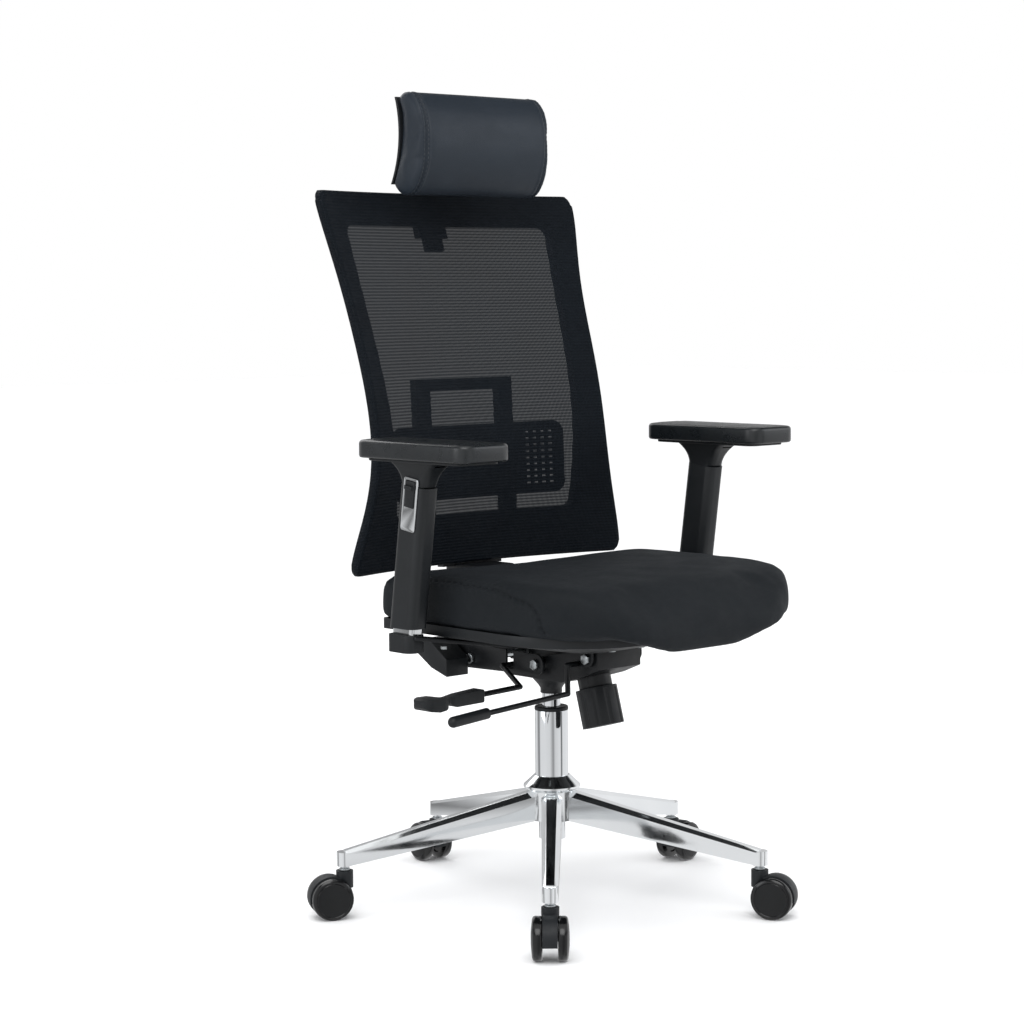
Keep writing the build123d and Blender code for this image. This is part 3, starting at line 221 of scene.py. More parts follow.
@dataclass(frozen=True)
class Woven(Finish):
    """Cloth of crossing threads: each thread shows where it passes over the other."""

    def surface(self, tree: bpy.types.NodeTree, coordinates: bpy.types.Node, shader: bpy.types.Node) -> None:
        """Adds the weave's relief.

        Args:
            tree: the material's node tree.
            coordinates: its texture coordinate node.
            shader: its surface shader.
        """
        parts = add_node(tree, "ShaderNodeSeparateXYZ", links={0: coordinates.outputs["UV"]})
        across = wave(tree, parts.outputs[0], self.grain_mm)
        along = wave(tree, parts.outputs[1], self.grain_mm)
        over = wave(tree, parts.outputs[0], 2 * self.grain_mm)
        under = wave(tree, parts.outputs[1], 2 * self.grain_mm, math.pi / 2)
        turn = add_node(tree, "ShaderNodeMath", {"operation": "GREATER_THAN"}, {0: over, 1: under})
        height = add_node(tree, "ShaderNodeMix", {"data_type": "FLOAT"},
                          {0: turn.outputs[0], 2: across, 3: along})
        fluff = add_node(tree, "ShaderNodeTexNoise", {"Scale": 2600.0, "Detail": 2.0},
                         {"Vector": coordinates.outputs["UV"]})
        rough = add_node(tree, "ShaderNodeMath", {"operation": "MULTIPLY_ADD", 1: 0.6},
                         {0: fluff.outputs["Fac"], 2: height.outputs[0]})
        bump = add_node(tree, "ShaderNodeBump", {"Strength": 0.9, "Distance": self.depth_mm * MM},
                        {"Height": rough.outputs[0]})
        tree.links.new(bump.outputs[0], shader.inputs["Normal"])


@dataclass(frozen=True)
class Knit(Finish):
    """Ribbed open mesh: close ribs across, with pores in the thinner rows between them."""

    rib_mm: float = 4.7
    pore_mm: float = 2.35
    rib_cover: float = 0.992
    row_cover: float = 0.945

    def surface(self, tree: bpy.types.NodeTree, coordinates: bpy.types.Node, shader: bpy.types.Node) -> None:
        """Adds the ribs' relief and the pores that light passes through.

        Args:
            tree: the material's node tree.
            coordinates: its texture coordinate node.
            shader: its surface shader.
        """
        parts = add_node(tree, "ShaderNodeSeparateXYZ", links={0: coordinates.outputs["UV"]})
        rib = wave(tree, parts.outputs[1], self.rib_mm)
        thread = wave(tree, parts.outputs[0], self.pore_mm)
        share = {"interpolation_type": "SMOOTHSTEP", 1: 0.35, 2: 0.62, 3: self.row_cover, 4: self.rib_cover}
        row = add_node(tree, "ShaderNodeMapRange", share, {0: rib})
        pore = add_node(tree, "ShaderNodeMapRange", {1: 0.0, 2: 1.0, 3: -0.05, 4: 0.05}, {0: thread})
        cover = add_node(tree, "ShaderNodeMath", {"operation": "ADD", "use_clamp": True},
                         {0: row.outputs[0], 1: pore.outputs[0]})
        tree.links.new(cover.outputs[0], shader.inputs["Alpha"])
        relief = add_node(tree, "ShaderNodeMath", {"operation": "MULTIPLY_ADD", 1: 0.35},
                          {0: thread, 2: rib})
        bump = add_node(tree, "ShaderNodeBump", {"Strength": 1.0, "Distance": self.depth_mm * MM},
                        {"Height": relief.outputs[0]})
        tree.links.new(bump.outputs[0], shader.inputs["Normal"])


class Shop:
    """The chair's finishes, named for what they are."""

    # polished die-cast aluminium: bright, long soft ripples from the buffing wheel
    aluminium = Finish("polished_die_cast_aluminium", "#eceeef", "#dfe2e4", (0.07, 0.15), 1.0,
                       grain=Grain.POLISHED, grain_mm=26.0, depth_mm=0.05, drift_mm=90.0)
    # hard chrome on steel tube: mirror-like with faint handling marks
    chrome = Finish("hard_chrome_plated_steel", "#e2e4e6", "#d5d8da", (0.03, 0.09), 1.0,
                    grain=Grain.POLISHED, grain_mm=40.0, depth_mm=0.02, drift_mm=120.0)
    # chromed ABS: slightly softer than chromed steel
    plated = Finish("chrome_plated_abs", "#d9dbdc", "#c6c9cb", (0.10, 0.20), 1.0,
                    grain=Grain.POLISHED, grain_mm=18.0, depth_mm=0.02, drift_mm=60.0)
    # bright zinc plate: pale, slightly blue and mottled
    zinc = Finish("bright_zinc_plated_steel", "#c3c7c9", "#9ea4a6", (0.22, 0.42), 1.0,
                  grain_mm=1.4, depth_mm=0.01, drift_mm=9.0)
    # ground bearing steel: scratches one way
    steel = Finish("ground_steel", "#b9bbbd", "#8e9092", (0.18, 0.32), 1.0,
                   grain=Grain.BRUSHED, grain_mm=1.0, depth_mm=0.01, drift_mm=12.0, stretch=(1.0, 1.0, 14.0))
    # black powder coat over steel: semi matt, faint orange peel
    powder = Finish("black_powder_coated_steel", "#0e1012", "#131518", (0.34, 0.48), specular=0.32,
                    grain=Grain.PEEL, grain_mm=1.6, depth_mm=0.05, drift_mm=40.0)
    # polypropylene from a spark-eroded tool: fine matt grain
    plastic = Finish("moulded_black_polypropylene", "#0f1214", "#15181b", (0.40, 0.55), specular=0.32,
                     grain_mm=0.9, depth_mm=0.05, drift_mm=55.0)
    # glass-filled nylon of the back and sleeves: matt, a little lighter where fibres show
    nylon = Finish("glass_filled_nylon", "#101315", "#171a1d", (0.38, 0.50), specular=0.34,
                   grain_mm=1.1, depth_mm=0.04, drift_mm=45.0)
    # caster hood: flat charcoal nylon
    hood = Finish("moulded_charcoal_nylon", "#14171a", "#1a1d20", (0.42, 0.55), specular=0.30,
                  grain_mm=0.8, depth_mm=0.03, drift_mm=20.0)
    # polished nylon of the wheel's rim
    rim = Finish("glossy_black_nylon", "#060708", "#0b0c0e", (0.14, 0.26), specular=0.35,
                 grain=Grain.POLISHED, grain_mm=7.0, depth_mm=0.02, drift_mm=22.0, coat=0.15)
    # satin face of the wheel's disc
    disc = Finish("satin_black_nylon", "#0a0b0c", "#101214", (0.34, 0.46), specular=0.30,
                  grain_mm=0.7, depth_mm=0.02, drift_mm=18.0)
    # self-skinned polyurethane foam: semi gloss with a leathery stipple
    foam_skin = Finish("self_skinned_polyurethane", "#0f1214", "#15191c", (0.24, 0.36), specular=0.5,
                       grain=Grain.HIDE, grain_mm=1.3, depth_mm=0.04, drift_mm=60.0)
    # bonded leather: small cells, low sheen; the cells are drawn at 1.7 mm, about twice the real size,
    # so that they show
    leather = Finish("bonded_leather", "#1b2128", "#232a32", (0.36, 0.48), specular=0.20,
                     grain=Grain.HIDE, grain_mm=1.7, depth_mm=0.08, drift_mm=80.0, sheen=0.03)
    # polyester upholstery cloth: threads drawn at 1.5 mm, about twice the real pitch, so that they show
    cloth = Woven("woven_polyester_cloth", "#0e1215", "#14181c", (0.66, 0.80), specular=0.20,
                  grain=Grain.WOVEN, grain_mm=1.5, depth_mm=0.14, drift_mm=120.0, sheen=0.05)
    # warp-knitted polyester mesh: dull dark ribs, with light through the thin rows between them
    mesh = Knit("warp_knitted_mesh", "#0a0e13", "#0f151b", (0.55, 0.7), specular=0.08,
                grain=Grain.KNIT, depth_mm=0.5, drift_mm=90.0, sheen=0.02)
    # polyester sewing thread: grey, slightly lighter than what it sews
    thread = Finish("polyester_thread", "#3a3f44", "#2c3034", (0.5, 0.65),
                    grain_mm=0.4, depth_mm=0.02, drift_mm=9.0, sheen=0.2)
    # light-coloured seamless studio paper
    paper = Finish("white_studio_paper", "#fafafa", "#f6f6f6", (0.9, 1.0),
                   grain_mm=3.0, depth_mm=0.0, drift_mm=900.0)


# ---------------------------------------------------------------- modelling helpers
def clear_selection() -> None:
    """Leaves edit mode and deselects everything."""
    if bpy.context.mode != "OBJECT":
        bpy.ops.object.mode_set(mode="OBJECT")
    bpy.ops.object.select_all(action="DESELECT")


def activate(*objects: bpy.types.Object) -> None:
    """Selects only these objects and makes the first one active."""
    clear_selection()
    for obj in objects:
        obj.select_set(True)
    bpy.context.view_layer.objects.active = objects[0]


@contextmanager
def editing(obj: bpy.types.Object) -> Iterator[None]:
    """Edit mode on one object, with all of its mesh selected at the start."""
    activate(obj)
    bpy.ops.object.mode_set(mode="EDIT")
    bpy.ops.mesh.select_all(action="SELECT")
    yield
    bpy.ops.object.mode_set(mode="OBJECT")


def pick(obj: bpy.types.Object, kind: str, test: Callable[[Vector, Vector], bool]) -> int:
    """Selects the faces or edges that pass a test, in edit mode.

    Args:
        obj: the object in edit mode.
        kind: "faces" or "edges".
        test: takes a face's centre and normal, or an edge's middle and direction.

    Returns:
        How many were selected.
    """
    bm = bmesh.from_edit_mesh(obj.data)
    for part in (*bm.verts, *bm.edges, *bm.faces):
        part.select = False
    bm.select_mode = {"FACE"} if kind == "faces" else {"EDGE"}
    count = 0
    for part in getattr(bm, kind):
        if kind == "faces":
            place, way = part.calc_center_median(), part.normal
        else:
            a, b = part.verts[0].co, part.verts[1].co
            place, way = (a + b) / 2, (b - a).normalized()
        if test(place, way):
            part.select_set(True)
            count += 1
    bmesh.update_edit_mesh(obj.data)
    return count


def apply_modifier(obj: bpy.types.Object, kind: str, **settings: object) -> None:
    """Adds a modifier with its settings and applies it.

    Args:
        obj: the object that takes it.
        kind: the modifier's type.
        settings: its properties.
    """
    activate(obj)
    modifier = obj.modifiers.new(kind.lower(), kind)
    for key, value in settings.items():
        setattr(modifier, key, value)
    bpy.ops.object.modifier_apply(modifier=modifier.name)


def settle(obj: bpy.types.Object) -> None:
    """Puts the object's place, turn and size into its mesh."""
    activate(obj)
    bpy.ops.object.transform_apply(location=True, rotation=True, scale=True)


def smooth(obj: bpy.types.Object, degrees: float = 35.0) -> None:
    """Shades the object smooth, with edges sharper than the angle kept."""
    activate(obj)
    bpy.ops.object.shade_smooth_by_angle(angle=math.radians(degrees))


def linked(name: str, data: bpy.types.ID) -> bpy.types.Object:
    """A new object of this name and data, linked to the scene."""
    obj = bpy.data.objects.new(name, data)
    bpy.context.scene.collection.objects.link(obj)
    return obj


def cad_copy(frame: dict, node: str, name: str) -> bpy.types.Object:
    """A new object with its own copy of a CAD node's mesh, without materials.

    Args:
        node: the CAD node.
        name: the new object's name.

    Returns:
        The object.
    """
    copy = linked(name, frame["nodes"][node].data.copy())
    copy.data.materials.clear()
    return copy


def mesh_object(name: str, points: Sequence, faces: Sequence, edges: Sequence = ()) -> bpy.types.Object:
    """A new object from points, faces and loose edges, linked to the scene.

    Args:
        name: the object's name.
        points: its vertices, in metres.
        faces: its faces, as vertex numbers.
        edges: its loose edges, as vertex numbers.

    Returns:
        The object.
    """
    data = bpy.data.meshes.new(name)
    data.from_pydata([tuple(p) for p in points], list(edges), [tuple(f) for f in faces])
    data.update()
    return linked(name, data)


def coordinates_of(obj: bpy.types.Object) -> np.ndarray:
    """The object's vertices as rows of x, y and z."""
    values = np.zeros(len(obj.data.vertices) * 3, np.float32)
    obj.data.vertices.foreach_get("co", values)
    return values.reshape(-1, 3).astype(float)


def normals_of(obj: bpy.types.Object) -> np.ndarray:
    """The object's vertex normals as rows of x, y and z."""
    values = np.zeros(len(obj.data.vertices) * 3, np.float32)
    obj.data.vertices.foreach_get("normal", values)
    return values.reshape(-1, 3).astype(float)


def move_vertices(obj: bpy.types.Object, places: np.ndarray) -> None:
    """Gives the object's vertices new places."""
    obj.data.vertices.foreach_set("co", places.astype(np.float32).ravel())
    obj.data.update()


def outward(obj: bpy.types.Object) -> None:
    """Merges doubles and turns every face outwards."""
    with editing(obj):
        bpy.ops.mesh.remove_doubles(threshold=1e-5)
        bpy.ops.mesh.normals_make_consistent(inside=False)


def dress(obj: bpy.types.Object, finish: Finish, body: str, slot: str, *stands_for: str) -> bpy.types.Object:
    """Gives a finished piece its material and its body, and hides the CAD nodes it stands for.

    Args:
        obj: the piece.
        finish: its material.
        body: the CAD body it moves with.
        slot: the record's material slot; not used.
        stands_for: CAD nodes that it replaces.

    Returns:
        The piece.
    """
    if not obj.data.materials:
        obj.data.materials.append(finish.material())
    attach(obj, body)
    if stands_for:
        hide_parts(*stands_for)
    LOG.info("%s: %d faces on %s", obj.name, len(obj.data.polygons), body)
    return obj


def box_uv(obj: bpy.types.Object) -> None:
    """Lays a UV map in metres, from the side that each face looks to."""
    layer = obj.data.uv_layers.get("cloth") or obj.data.uv_layers.new(name="cloth")
    places = coordinates_of(obj)
    values = np.zeros((len(obj.data.loops), 2))
    for face in obj.data.polygons:
        n = face.normal
        size = (abs(n.x), abs(n.y), abs(n.z))
        axis = size.index(max(size))
        u, v = ((1, 2), (0, 2), (0, 1))[axis]
        for loop in face.loop_indices:
            place = places[obj.data.loops[loop].vertex_index]
            values[loop] = (place[u], place[v])
    layer.data.foreach_set("uv", values.astype(np.float32).ravel())


@dataclass
class Rounded:
    """A hard CAD part copied with its sharp edges rounded, as moulding and casting leave them."""

    node: str
    body: str
    finish: Finish
    slot: str
    radius_mm: float = 0.8
    segments: int = 2
    angle: float = 32.0
    shape: Optional[Callable[[np.ndarray], np.ndarray]] = None

    def build(self, frame: dict) -> bpy.types.Object:
        """Makes the piece.


        Returns:
            The piece, dressed.
        """
        copy = cad_copy(frame, self.node, f"{self.node}.show")
        with editing(copy):
            bpy.ops.mesh.remove_doubles(threshold=2e-5)
            bpy.ops.mesh.dissolve_limited(angle_limit=math.radians(0.6))
        if self.shape is not None:
            move_vertices(copy, self.shape(coordinates_of(copy)))
        if self.radius_mm:
            apply_modifier(copy, "BEVEL", width=self.radius_mm * MM, segments=self.segments,
                           limit_method="ANGLE", angle_limit=math.radians(self.angle),
                           use_clamp_overlap=True, harden_normals=False)
        with editing(copy):
            bpy.ops.mesh.quads_convert_to_tris(quad_method="BEAUTY", ngon_method="BEAUTY")
        smooth(copy, self.angle)
        return dress(copy, self.finish, self.body, self.slot, self.node)


# ---------------------------------------------------------------- soft goods helpers
def nearest(obj: bpy.types.Object, points: Sequence[Sequence[float]]) -> list[Vector]:
    """Each point moved onto the object's surface."""
    return [obj.closest_point_on_mesh(Vector(p))[1] for p in points]


def spaced(points: Sequence[Vector], pitch: float, closed: bool = False) -> list[Vector]:
    """Points along a line, one pitch apart.

    Args:
        points: the line's corners.
        pitch: the distance between the new points, in metres.
        closed: whether the line returns to its start.

    Returns:
        The new points.
    """
    line = [Vector(p) for p in points] + ([Vector(points[0])] if closed else [])
    lengths = [0.0]
    for a, b in zip(line, line[1:]):
        lengths.append(lengths[-1] + (b - a).length)
    count = max(2, round(lengths[-1] / pitch))
    found = []
    for i in range(count if closed else count + 1):
        at = lengths[-1] * i / count
        k = min(len(line) - 2, max(0, int(np.searchsorted(lengths, at, side="right")) - 1))
        share = (at - lengths[k]) / max(1e-9, lengths[k + 1] - lengths[k])
        found.append(line[k].lerp(line[k + 1], share))
    return found


def curved(points: Sequence[Sequence[float]], pitch: float) -> list[Vector]:
    """A smooth line through points, as points one pitch apart."""
    p = [Vector(v) for v in points]
    p = [p[0] * 2 - p[1], *p, p[-1] * 2 - p[-2]]
    fine = []
    for a, b, c, d in zip(p, p[1:], p[2:], p[3:]):
        for k in range(12):
            t = k / 12
            square, cube = 2 * a - 5 * b + 4 * c - d, 3 * b - a - 3 * c + d
            fine.append(0.5 * (2 * b + (c - a) * t + square * t * t + cube * t ** 3))
    return spaced([*fine, p[-2]], pitch)


def groove(obj: bpy.types.Object, line: Sequence[Vector], depth: float, width: float, roll: float = 0.0,
           pucker: float = 0.0, pucker_pitch: float = 0.009) -> None:
    """Presses a sewn line into a surface, with the cloth rolled up beside it.

    Args:
        obj: the soft piece.
        line: points along the seam, close together.
        depth: how deep the seam lies, in metres.
        width: its half width.
        roll: how far the cloth stands up beside it.
        pucker: the share by which the depth varies along it.
        pucker_pitch: the length of that variation.
    """
    places, normals = coordinates_of(obj), normals_of(obj)
    knots = np.array([tuple(p) for p in line])
    low, high = knots.min(0) - 5 * width, knots.max(0) + 5 * width
    near = np.flatnonzero(((places > low) & (places < high)).all(1))
    step = float(np.linalg.norm(knots[1] - knots[0]))
    for chunk in np.array_split(near, max(1, len(near) // 4000)):
        if not len(chunk):
            continue
        gaps = np.linalg.norm(places[chunk][:, None] - knots[None], axis=2)
        which, distance = gaps.argmin(1), gaps.min(1)
        along = which * step
        wavy = 1 + pucker * np.sin(2 * np.pi * along / pucker_pitch)
        push = -depth * wavy * np.exp(-(distance / width) ** 2)
        push += roll * wavy * np.exp(-((distance - 2.2 * width) / (1.1 * width)) ** 2)
        places[chunk] += normals[chunk] * push[:, None]
    move_vertices(obj, places)


def inflate(obj: bpy.types.Object, voxel: float, cap: float, pressure: float = 4.0,
            held: Optional[Callable[[np.ndarray], np.ndarray]] = None) -> None:
    """Swells a closed piece as stuffing does, with the cloth solver, and applies and evens the result.

    Args:
        obj: the closed piece, a little smaller than it should end.
        voxel: the remesh size, in metres.
        cap: the furthest that a point may move.
        pressure: the stuffing's pressure.
        held: takes the vertices and says which ones stay.
    """
    activate(obj)
    obj.data.remesh_voxel_size = voxel
    bpy.ops.object.voxel_remesh()
    start = coordinates_of(obj)
    cloth = obj.modifiers.new("stuffing", "CLOTH")
    settings = cloth.settings
    settings.mass = 0.3
    settings.tension_stiffness = settings.compression_stiffness = 22.0
    settings.bending_stiffness = 1.2
    settings.use_pressure = True
    settings.uniform_pressure_force = pressure
    settings.effector_weights.gravity = 0.0
    if held is not None:
        group = obj.vertex_groups.new(name="held")
        group.add([int(i) for i in np.flatnonzero(held(start))], 1.0, "REPLACE")
        settings.vertex_group_mass = "held"
    scene = bpy.context.scene
    for step in range(1, 21):
        scene.frame_set(step)
    found = obj.evaluated_get(bpy.context.evaluated_depsgraph_get()).to_mesh()
    ends = np.zeros(len(found.vertices) * 3, np.float32)
    found.vertices.foreach_get("co", ends)
    moved = ends.reshape(-1, 3).astype(float) - start
    length = np.linalg.norm(moved, axis=1, keepdims=True)
    obj.modifiers.clear()
    scene.frame_set(1)
    move_vertices(obj, start + moved * np.minimum(1.0, cap / np.maximum(length, 1e-9)))
    obj.vertex_groups.clear()
    apply_modifier(obj, "SMOOTH", factor=0.5, iterations=14)
    apply_modifier(obj, "SUBSURF", levels=1, render_levels=1)


def stitches(name: str, lines: Sequence[Sequence[Vector]], surface: bpy.types.Object, length: float,
             radius: float) -> bpy.types.Object:
    """A row of sewn stitches along each line, lying on a surface.

    Args:
        name: the new object's name.
        lines: the lines to sew along, as points half a stitch's repeat apart.
        surface: the piece that is sewn.
        length: a stitch's length, in metres.
        radius: the thread's radius.

    Returns:
        All the stitches, as one object.
    """
    clear_selection()
    bpy.ops.mesh.primitive_uv_sphere_add(segments=6, ring_count=4, radius=radius)
    seed = bpy.context.active_object
    with editing(seed):
        bpy.ops.transform.resize(value=(1, 1, length / (2 * radius)))
    base = coordinates_of(seed)
    faces = [tuple(f.vertices) for f in seed.data.polygons]
    points, polygons = [], []
    for line in lines:
        for a, b in zip(line[::2], line[1::2]):
            middle = (a + b) / 2
            found, place, normal, _ = surface.closest_point_on_mesh(middle)
            if not found:
                continue
            way = (b - a).normalized()
            side = way.cross(normal).normalized()
            turn = Matrix((side, way.cross(side), way)).transposed()
            at = place + normal * radius * 0.35
            offset = len(points)
            points += [turn @ Vector(v) + at for v in base]
            polygons += [tuple(i + offset for i in face) for face in faces]
    bpy.data.objects.remove(seed)
    made = mesh_object(name, points, polygons)
    outward(made)
    smooth(made, 60)
    return made


# ---------------------------------------------------------------- casters
@dataclass
class Caster:
    """A twin-wheel caster: two domed wheels on one axle, and the hood between them."""

    number: int
    wheel_radius: float = 0.031
    wheel_width: float = 0.016
    web: float = 0.021
    axle_radius: float = 0.0042
    steps: int = 56

    def profile(self) -> list[tuple[float, float]]:
        """The wheel's half section, from the axle out, as radius and distance from the middle plane."""
        r, inner = self.wheel_radius, self.web / 2 + 0.0005
        outer = inner + self.wheel_width
        return [
            (self.axle_radius, inner + 0.002), (0.020, inner + 0.002), (0.0215, inner),
            (r - 0.0022, inner), (r - 0.0006, inner + 0.0008), (r, inner + 0.0025), (r, outer - 0.0062),
            (r - 0.0009, outer - 0.0038), (r - 0.0032, outer - 0.0022), (r - 0.0056, outer - 0.0017),
            (r - 0.0062, outer - 0.0021),
            (r - 0.0068, outer - 0.0016), (0.017, outer - 0.0008), (0.009, outer - 0.0002), (0.0, outer),
        ]

    def build(self, frame: dict, seed: Optional[bpy.types.Object]) -> bpy.types.Object:
        """Makes the wheels of this caster.

        Args:
            seed: the wheel pair at the origin, if it is made already.

        Returns:
            The wheel pair at the origin, for the next caster.
        """
        if seed is None:
            seed = self.pair()
        low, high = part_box(f"caster_wheels_{self.number}")
        centre = (low + high) / 2
        joint = next(j for j in frame["joints"] if j["name"] == f"wheels_{self.number}_roll")
        axis = Vector(joint["axis"])
        turn = Vector((0, 1, 0)).rotation_difference(axis).to_matrix().to_4x4()
        wheels = linked(f"wheels_{self.number}", seed.data.copy())
        wheels.data.transform(Matrix.Translation((centre.x, centre.y, self.wheel_radius)) @ turn)
        dress(wheels, Shop.rim, f"wheels_{self.number}", "caster_tread", f"caster_wheels_{self.number}")
        hood = f"caster_hood_{self.number}"
        Rounded(hood, f"caster_{self.number}", Shop.hood, "caster_nylon", 0.9, 3).build(frame)
        return seed

    def pair(self) -> bpy.types.Object:
        """Two wheels and the axle at the origin, turned about Y by spinning their section."""
        points = [(radius, across, 0.0) for radius, across in self.profile()]
        wheel = mesh_object("wheel_seed", points, [], [(i, i + 1) for i in range(len(points) - 1)])
        with editing(wheel):
            bpy.ops.mesh.spin(steps=self.steps, angle=2 * math.pi, center=(0, 0, 0), axis=(0, 1, 0))
        outward(wheel)
        for finish in (Shop.rim, Shop.disc):
            wheel.data.materials.append(finish.material())
        edge = self.wheel_radius - 0.0066
        outer = self.web / 2 + self.wheel_width - 0.003
        for face in wheel.data.polygons:
            radius = math.hypot(face.center.x, face.center.z)
            face.material_index = 1 if radius < edge and face.center.y > outer else 0
        mirrored = wheel.data.copy()
        mirrored.transform(Matrix.Rotation(math.pi, 4, "Z"))
        other = linked("wheel_other", mirrored)
        clear_selection()
        bpy.ops.mesh.primitive_cylinder_add(vertices=24, radius=self.axle_radius, depth=self.web + 0.006,
                                            rotation=(math.pi / 2, 0, 0))
        axle = bpy.context.active_object
        settle(axle)
        with editing(axle):
            pick(axle, "faces", lambda place, way: abs(way.y) > 0.9)
            bpy.ops.mesh.inset(thickness=0.0012)
        axle.data.materials.append(Shop.steel.material())
        activate(wheel, other, axle)
        bpy.ops.object.join()
        smooth(wheel, 28)
        wheel.name = "wheel_pair"
        wheel.hide_render = True
        return wheel


# ---------------------------------------------------------------- base and column
@dataclass
class Base:
    """The star base, the column and what is in its foot."""

    leg_edge_mm: float = 2.2

    def build(self, frame: dict) -> None:
        """Rounds and dresses the base's nodes.
        """
        for part in (
            Rounded("star_base", "base", Shop.aluminium, "polished_aluminium", self.leg_edge_mm, 4, 20.0),
            Rounded("column_tube", "base", Shop.chrome, "chrome_tube", 0.4),
            Rounded("column_bush", "base", Shop.plastic, "black_acetal", 0.8, 3),
            Rounded("caster_stems", "base", Shop.zinc, "zinc_plated_steel", 0.5),
            Rounded("thrust_bearing", "base", Shop.steel, "bearing_steel", 0.6),
            Rounded("retaining_clip", "base", Shop.steel, "spring_steel", 0.3),
            Rounded("piston_rod", "spindle", Shop.steel, "bearing_steel", 0.5),
            Rounded("gas_tube", "mechanism", Shop.chrome, "chrome_tube", 0.8, 3),
            Rounded("valve_pin", "valve_pin", Shop.steel, "bearing_steel", 0.4),
        ):
            part.build(frame)


# ---------------------------------------------------------------- mechanism
@dataclass
class Mechanism:
    """The tilt mechanism, its levers and its tension knob."""

    parts: tuple = field(default_factory=lambda: (
        Rounded("mechanism_housing", "mechanism", Shop.powder, "black_steel", 1.4, 3),
        Rounded("spring_cup", "mechanism", Shop.powder, "black_steel", 1.2, 3),
        Rounded("tension_spring", "mechanism", Shop.steel, "spring_steel", 0.0),
        Rounded("pivot_bolts", "mechanism", Shop.zinc, "zinc_plated_steel", 0.6),
        Rounded("tension_knob", "tension_knob", Shop.plastic, "moulded_black", 1.4, 3),
        Rounded("tension_rod", "tension_knob", Shop.zinc, "zinc_plated_steel", 0.4),
        Rounded("height_lever_rod", "height_lever", Shop.powder, "black_steel", 0.0, angle=50.0),
        Rounded("height_lever_paddle", "height_lever", Shop.plastic, "moulded_black", 2.6, 4, 24.0),
        Rounded("lock_lever_rod", "lock_lever", Shop.powder, "black_steel", 0.0, angle=50.0),
        Rounded("lock_lever_grip", "lock_lever", Shop.plastic, "moulded_black", 1.2, 3),
        Rounded("seat_plate", "seat", Shop.powder, "black_steel", 0.5),
        Rounded("seat_screws", "seat", Shop.zinc, "zinc_plated_steel", 0.5),
        Rounded("seat_pan", "seat", Shop.plastic, "moulded_black", 1.2, 2, 24.0),
        Rounded("back_bracket", "back", Shop.powder, "black_steel", 1.2, 2),
        Rounded("bracket_cover", "back", Shop.plastic, "moulded_black", 2.0, 3),
        Rounded("link_pin", "back", Shop.zinc, "zinc_plated_steel", 0.6),
    ))

    def build(self, frame: dict) -> None:
        """Builds every part of the mechanism in turn.
        """
        for part in self.parts:
            part.build(frame)


# ---------------------------------------------------------------- seat
@dataclass
class Seat:
    """The upholstered seat: foam under a woven cover, with a sewn side panel."""

    voxel: float = 0.0055
    cap: float = 0.005
    flat_below: float = 0.030
    # the side panel's seam, as Y and Z, from the back along the top edge, down to the lower edge
    panel_x: float = 0.252
    panel: tuple = ((0.085, 0.512), (0.03, 0.516), (-0.05, 0.517), (-0.115, 0.515), (-0.155, 0.508),
                    (-0.190, 0.499), (-0.218, 0.492), (-0.234, 0.477), (-0.241, 0.455), (-0.246, 0.438))
    # where the side panel draws in between its seams, as Y and Z
    sag_x: float = 0.256
    sag: tuple = ((0.09, 0.474), (-0.02, 0.470), (-0.13, 0.474), (-0.20, 0.470))
    dip: float = 0.0065

    def build(self, frame: dict) -> bpy.types.Object:
        """Makes the cushion and its seams.


        Returns:
            The cushion.
        """
        cushion = cad_copy(frame, "seat_cushion", "seat_cover")
        with editing(cushion):
            bpy.ops.mesh.remove_doubles(threshold=1e-5)
            bpy.ops.mesh.dissolve_limited(angle_limit=math.radians(1.0))
        activate(cushion)
        cushion.data.remesh_voxel_size = self.voxel
        bpy.ops.object.voxel_remesh()
        apply_modifier(cushion, "SMOOTH", factor=0.5, iterations=26)
        low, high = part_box("seat_cushion")
        inflate(cushion, self.voxel, self.cap, held=lambda p: p[:, 2] < low.z + self.flat_below)
        self.dish(cushion, low, high)
        for side in SIDES.values():
            seam = nearest(cushion, curved([(side * self.panel_x, y, z) for y, z in self.panel], 0.002))
            groove(cushion, seam, 0.0028, 0.0030, 0.0010, 0.45, 0.011)
            hollow = nearest(cushion, curved([(side * self.sag_x, y, z) for y, z in self.sag], 0.004))
            groove(cushion, hollow, 0.0022, 0.020)
        box_uv(cushion)
        activate(cushion)
        bpy.ops.object.shade_smooth()
        dress(cushion, Shop.cloth, "seat", "seat_fabric", "seat_cushion")
        return cushion

    def dish(self, cushion: bpy.types.Object, low: Vector, high: Vector) -> None:
        """Lets the top dip where it is sat on, with slow waves in the cover.

        Args:
            cushion: the cushion.
            low: the CAD cushion's lowest corner.
            high: its highest corner.
        """
        places, normals = coordinates_of(cushion), normals_of(cushion)
        share_x = np.abs(places[:, 0]) / high.x
        share_y = (places[:, 1] - low.y) / (high.y - low.y)
        up = np.clip(normals[:, 2], 0, 1) ** 2
        dip = -self.dip * np.exp(-(share_x / 0.62) ** 2 - ((share_y - 0.74) / 0.30) ** 2)
        slow = 0.0005 * np.sin(places[:, 0] * 61 + 1.3) * np.sin(places[:, 1] * 47 + 0.4)
        places[:, 2] += up * (dip + slow)
        move_vertices(cushion, places)


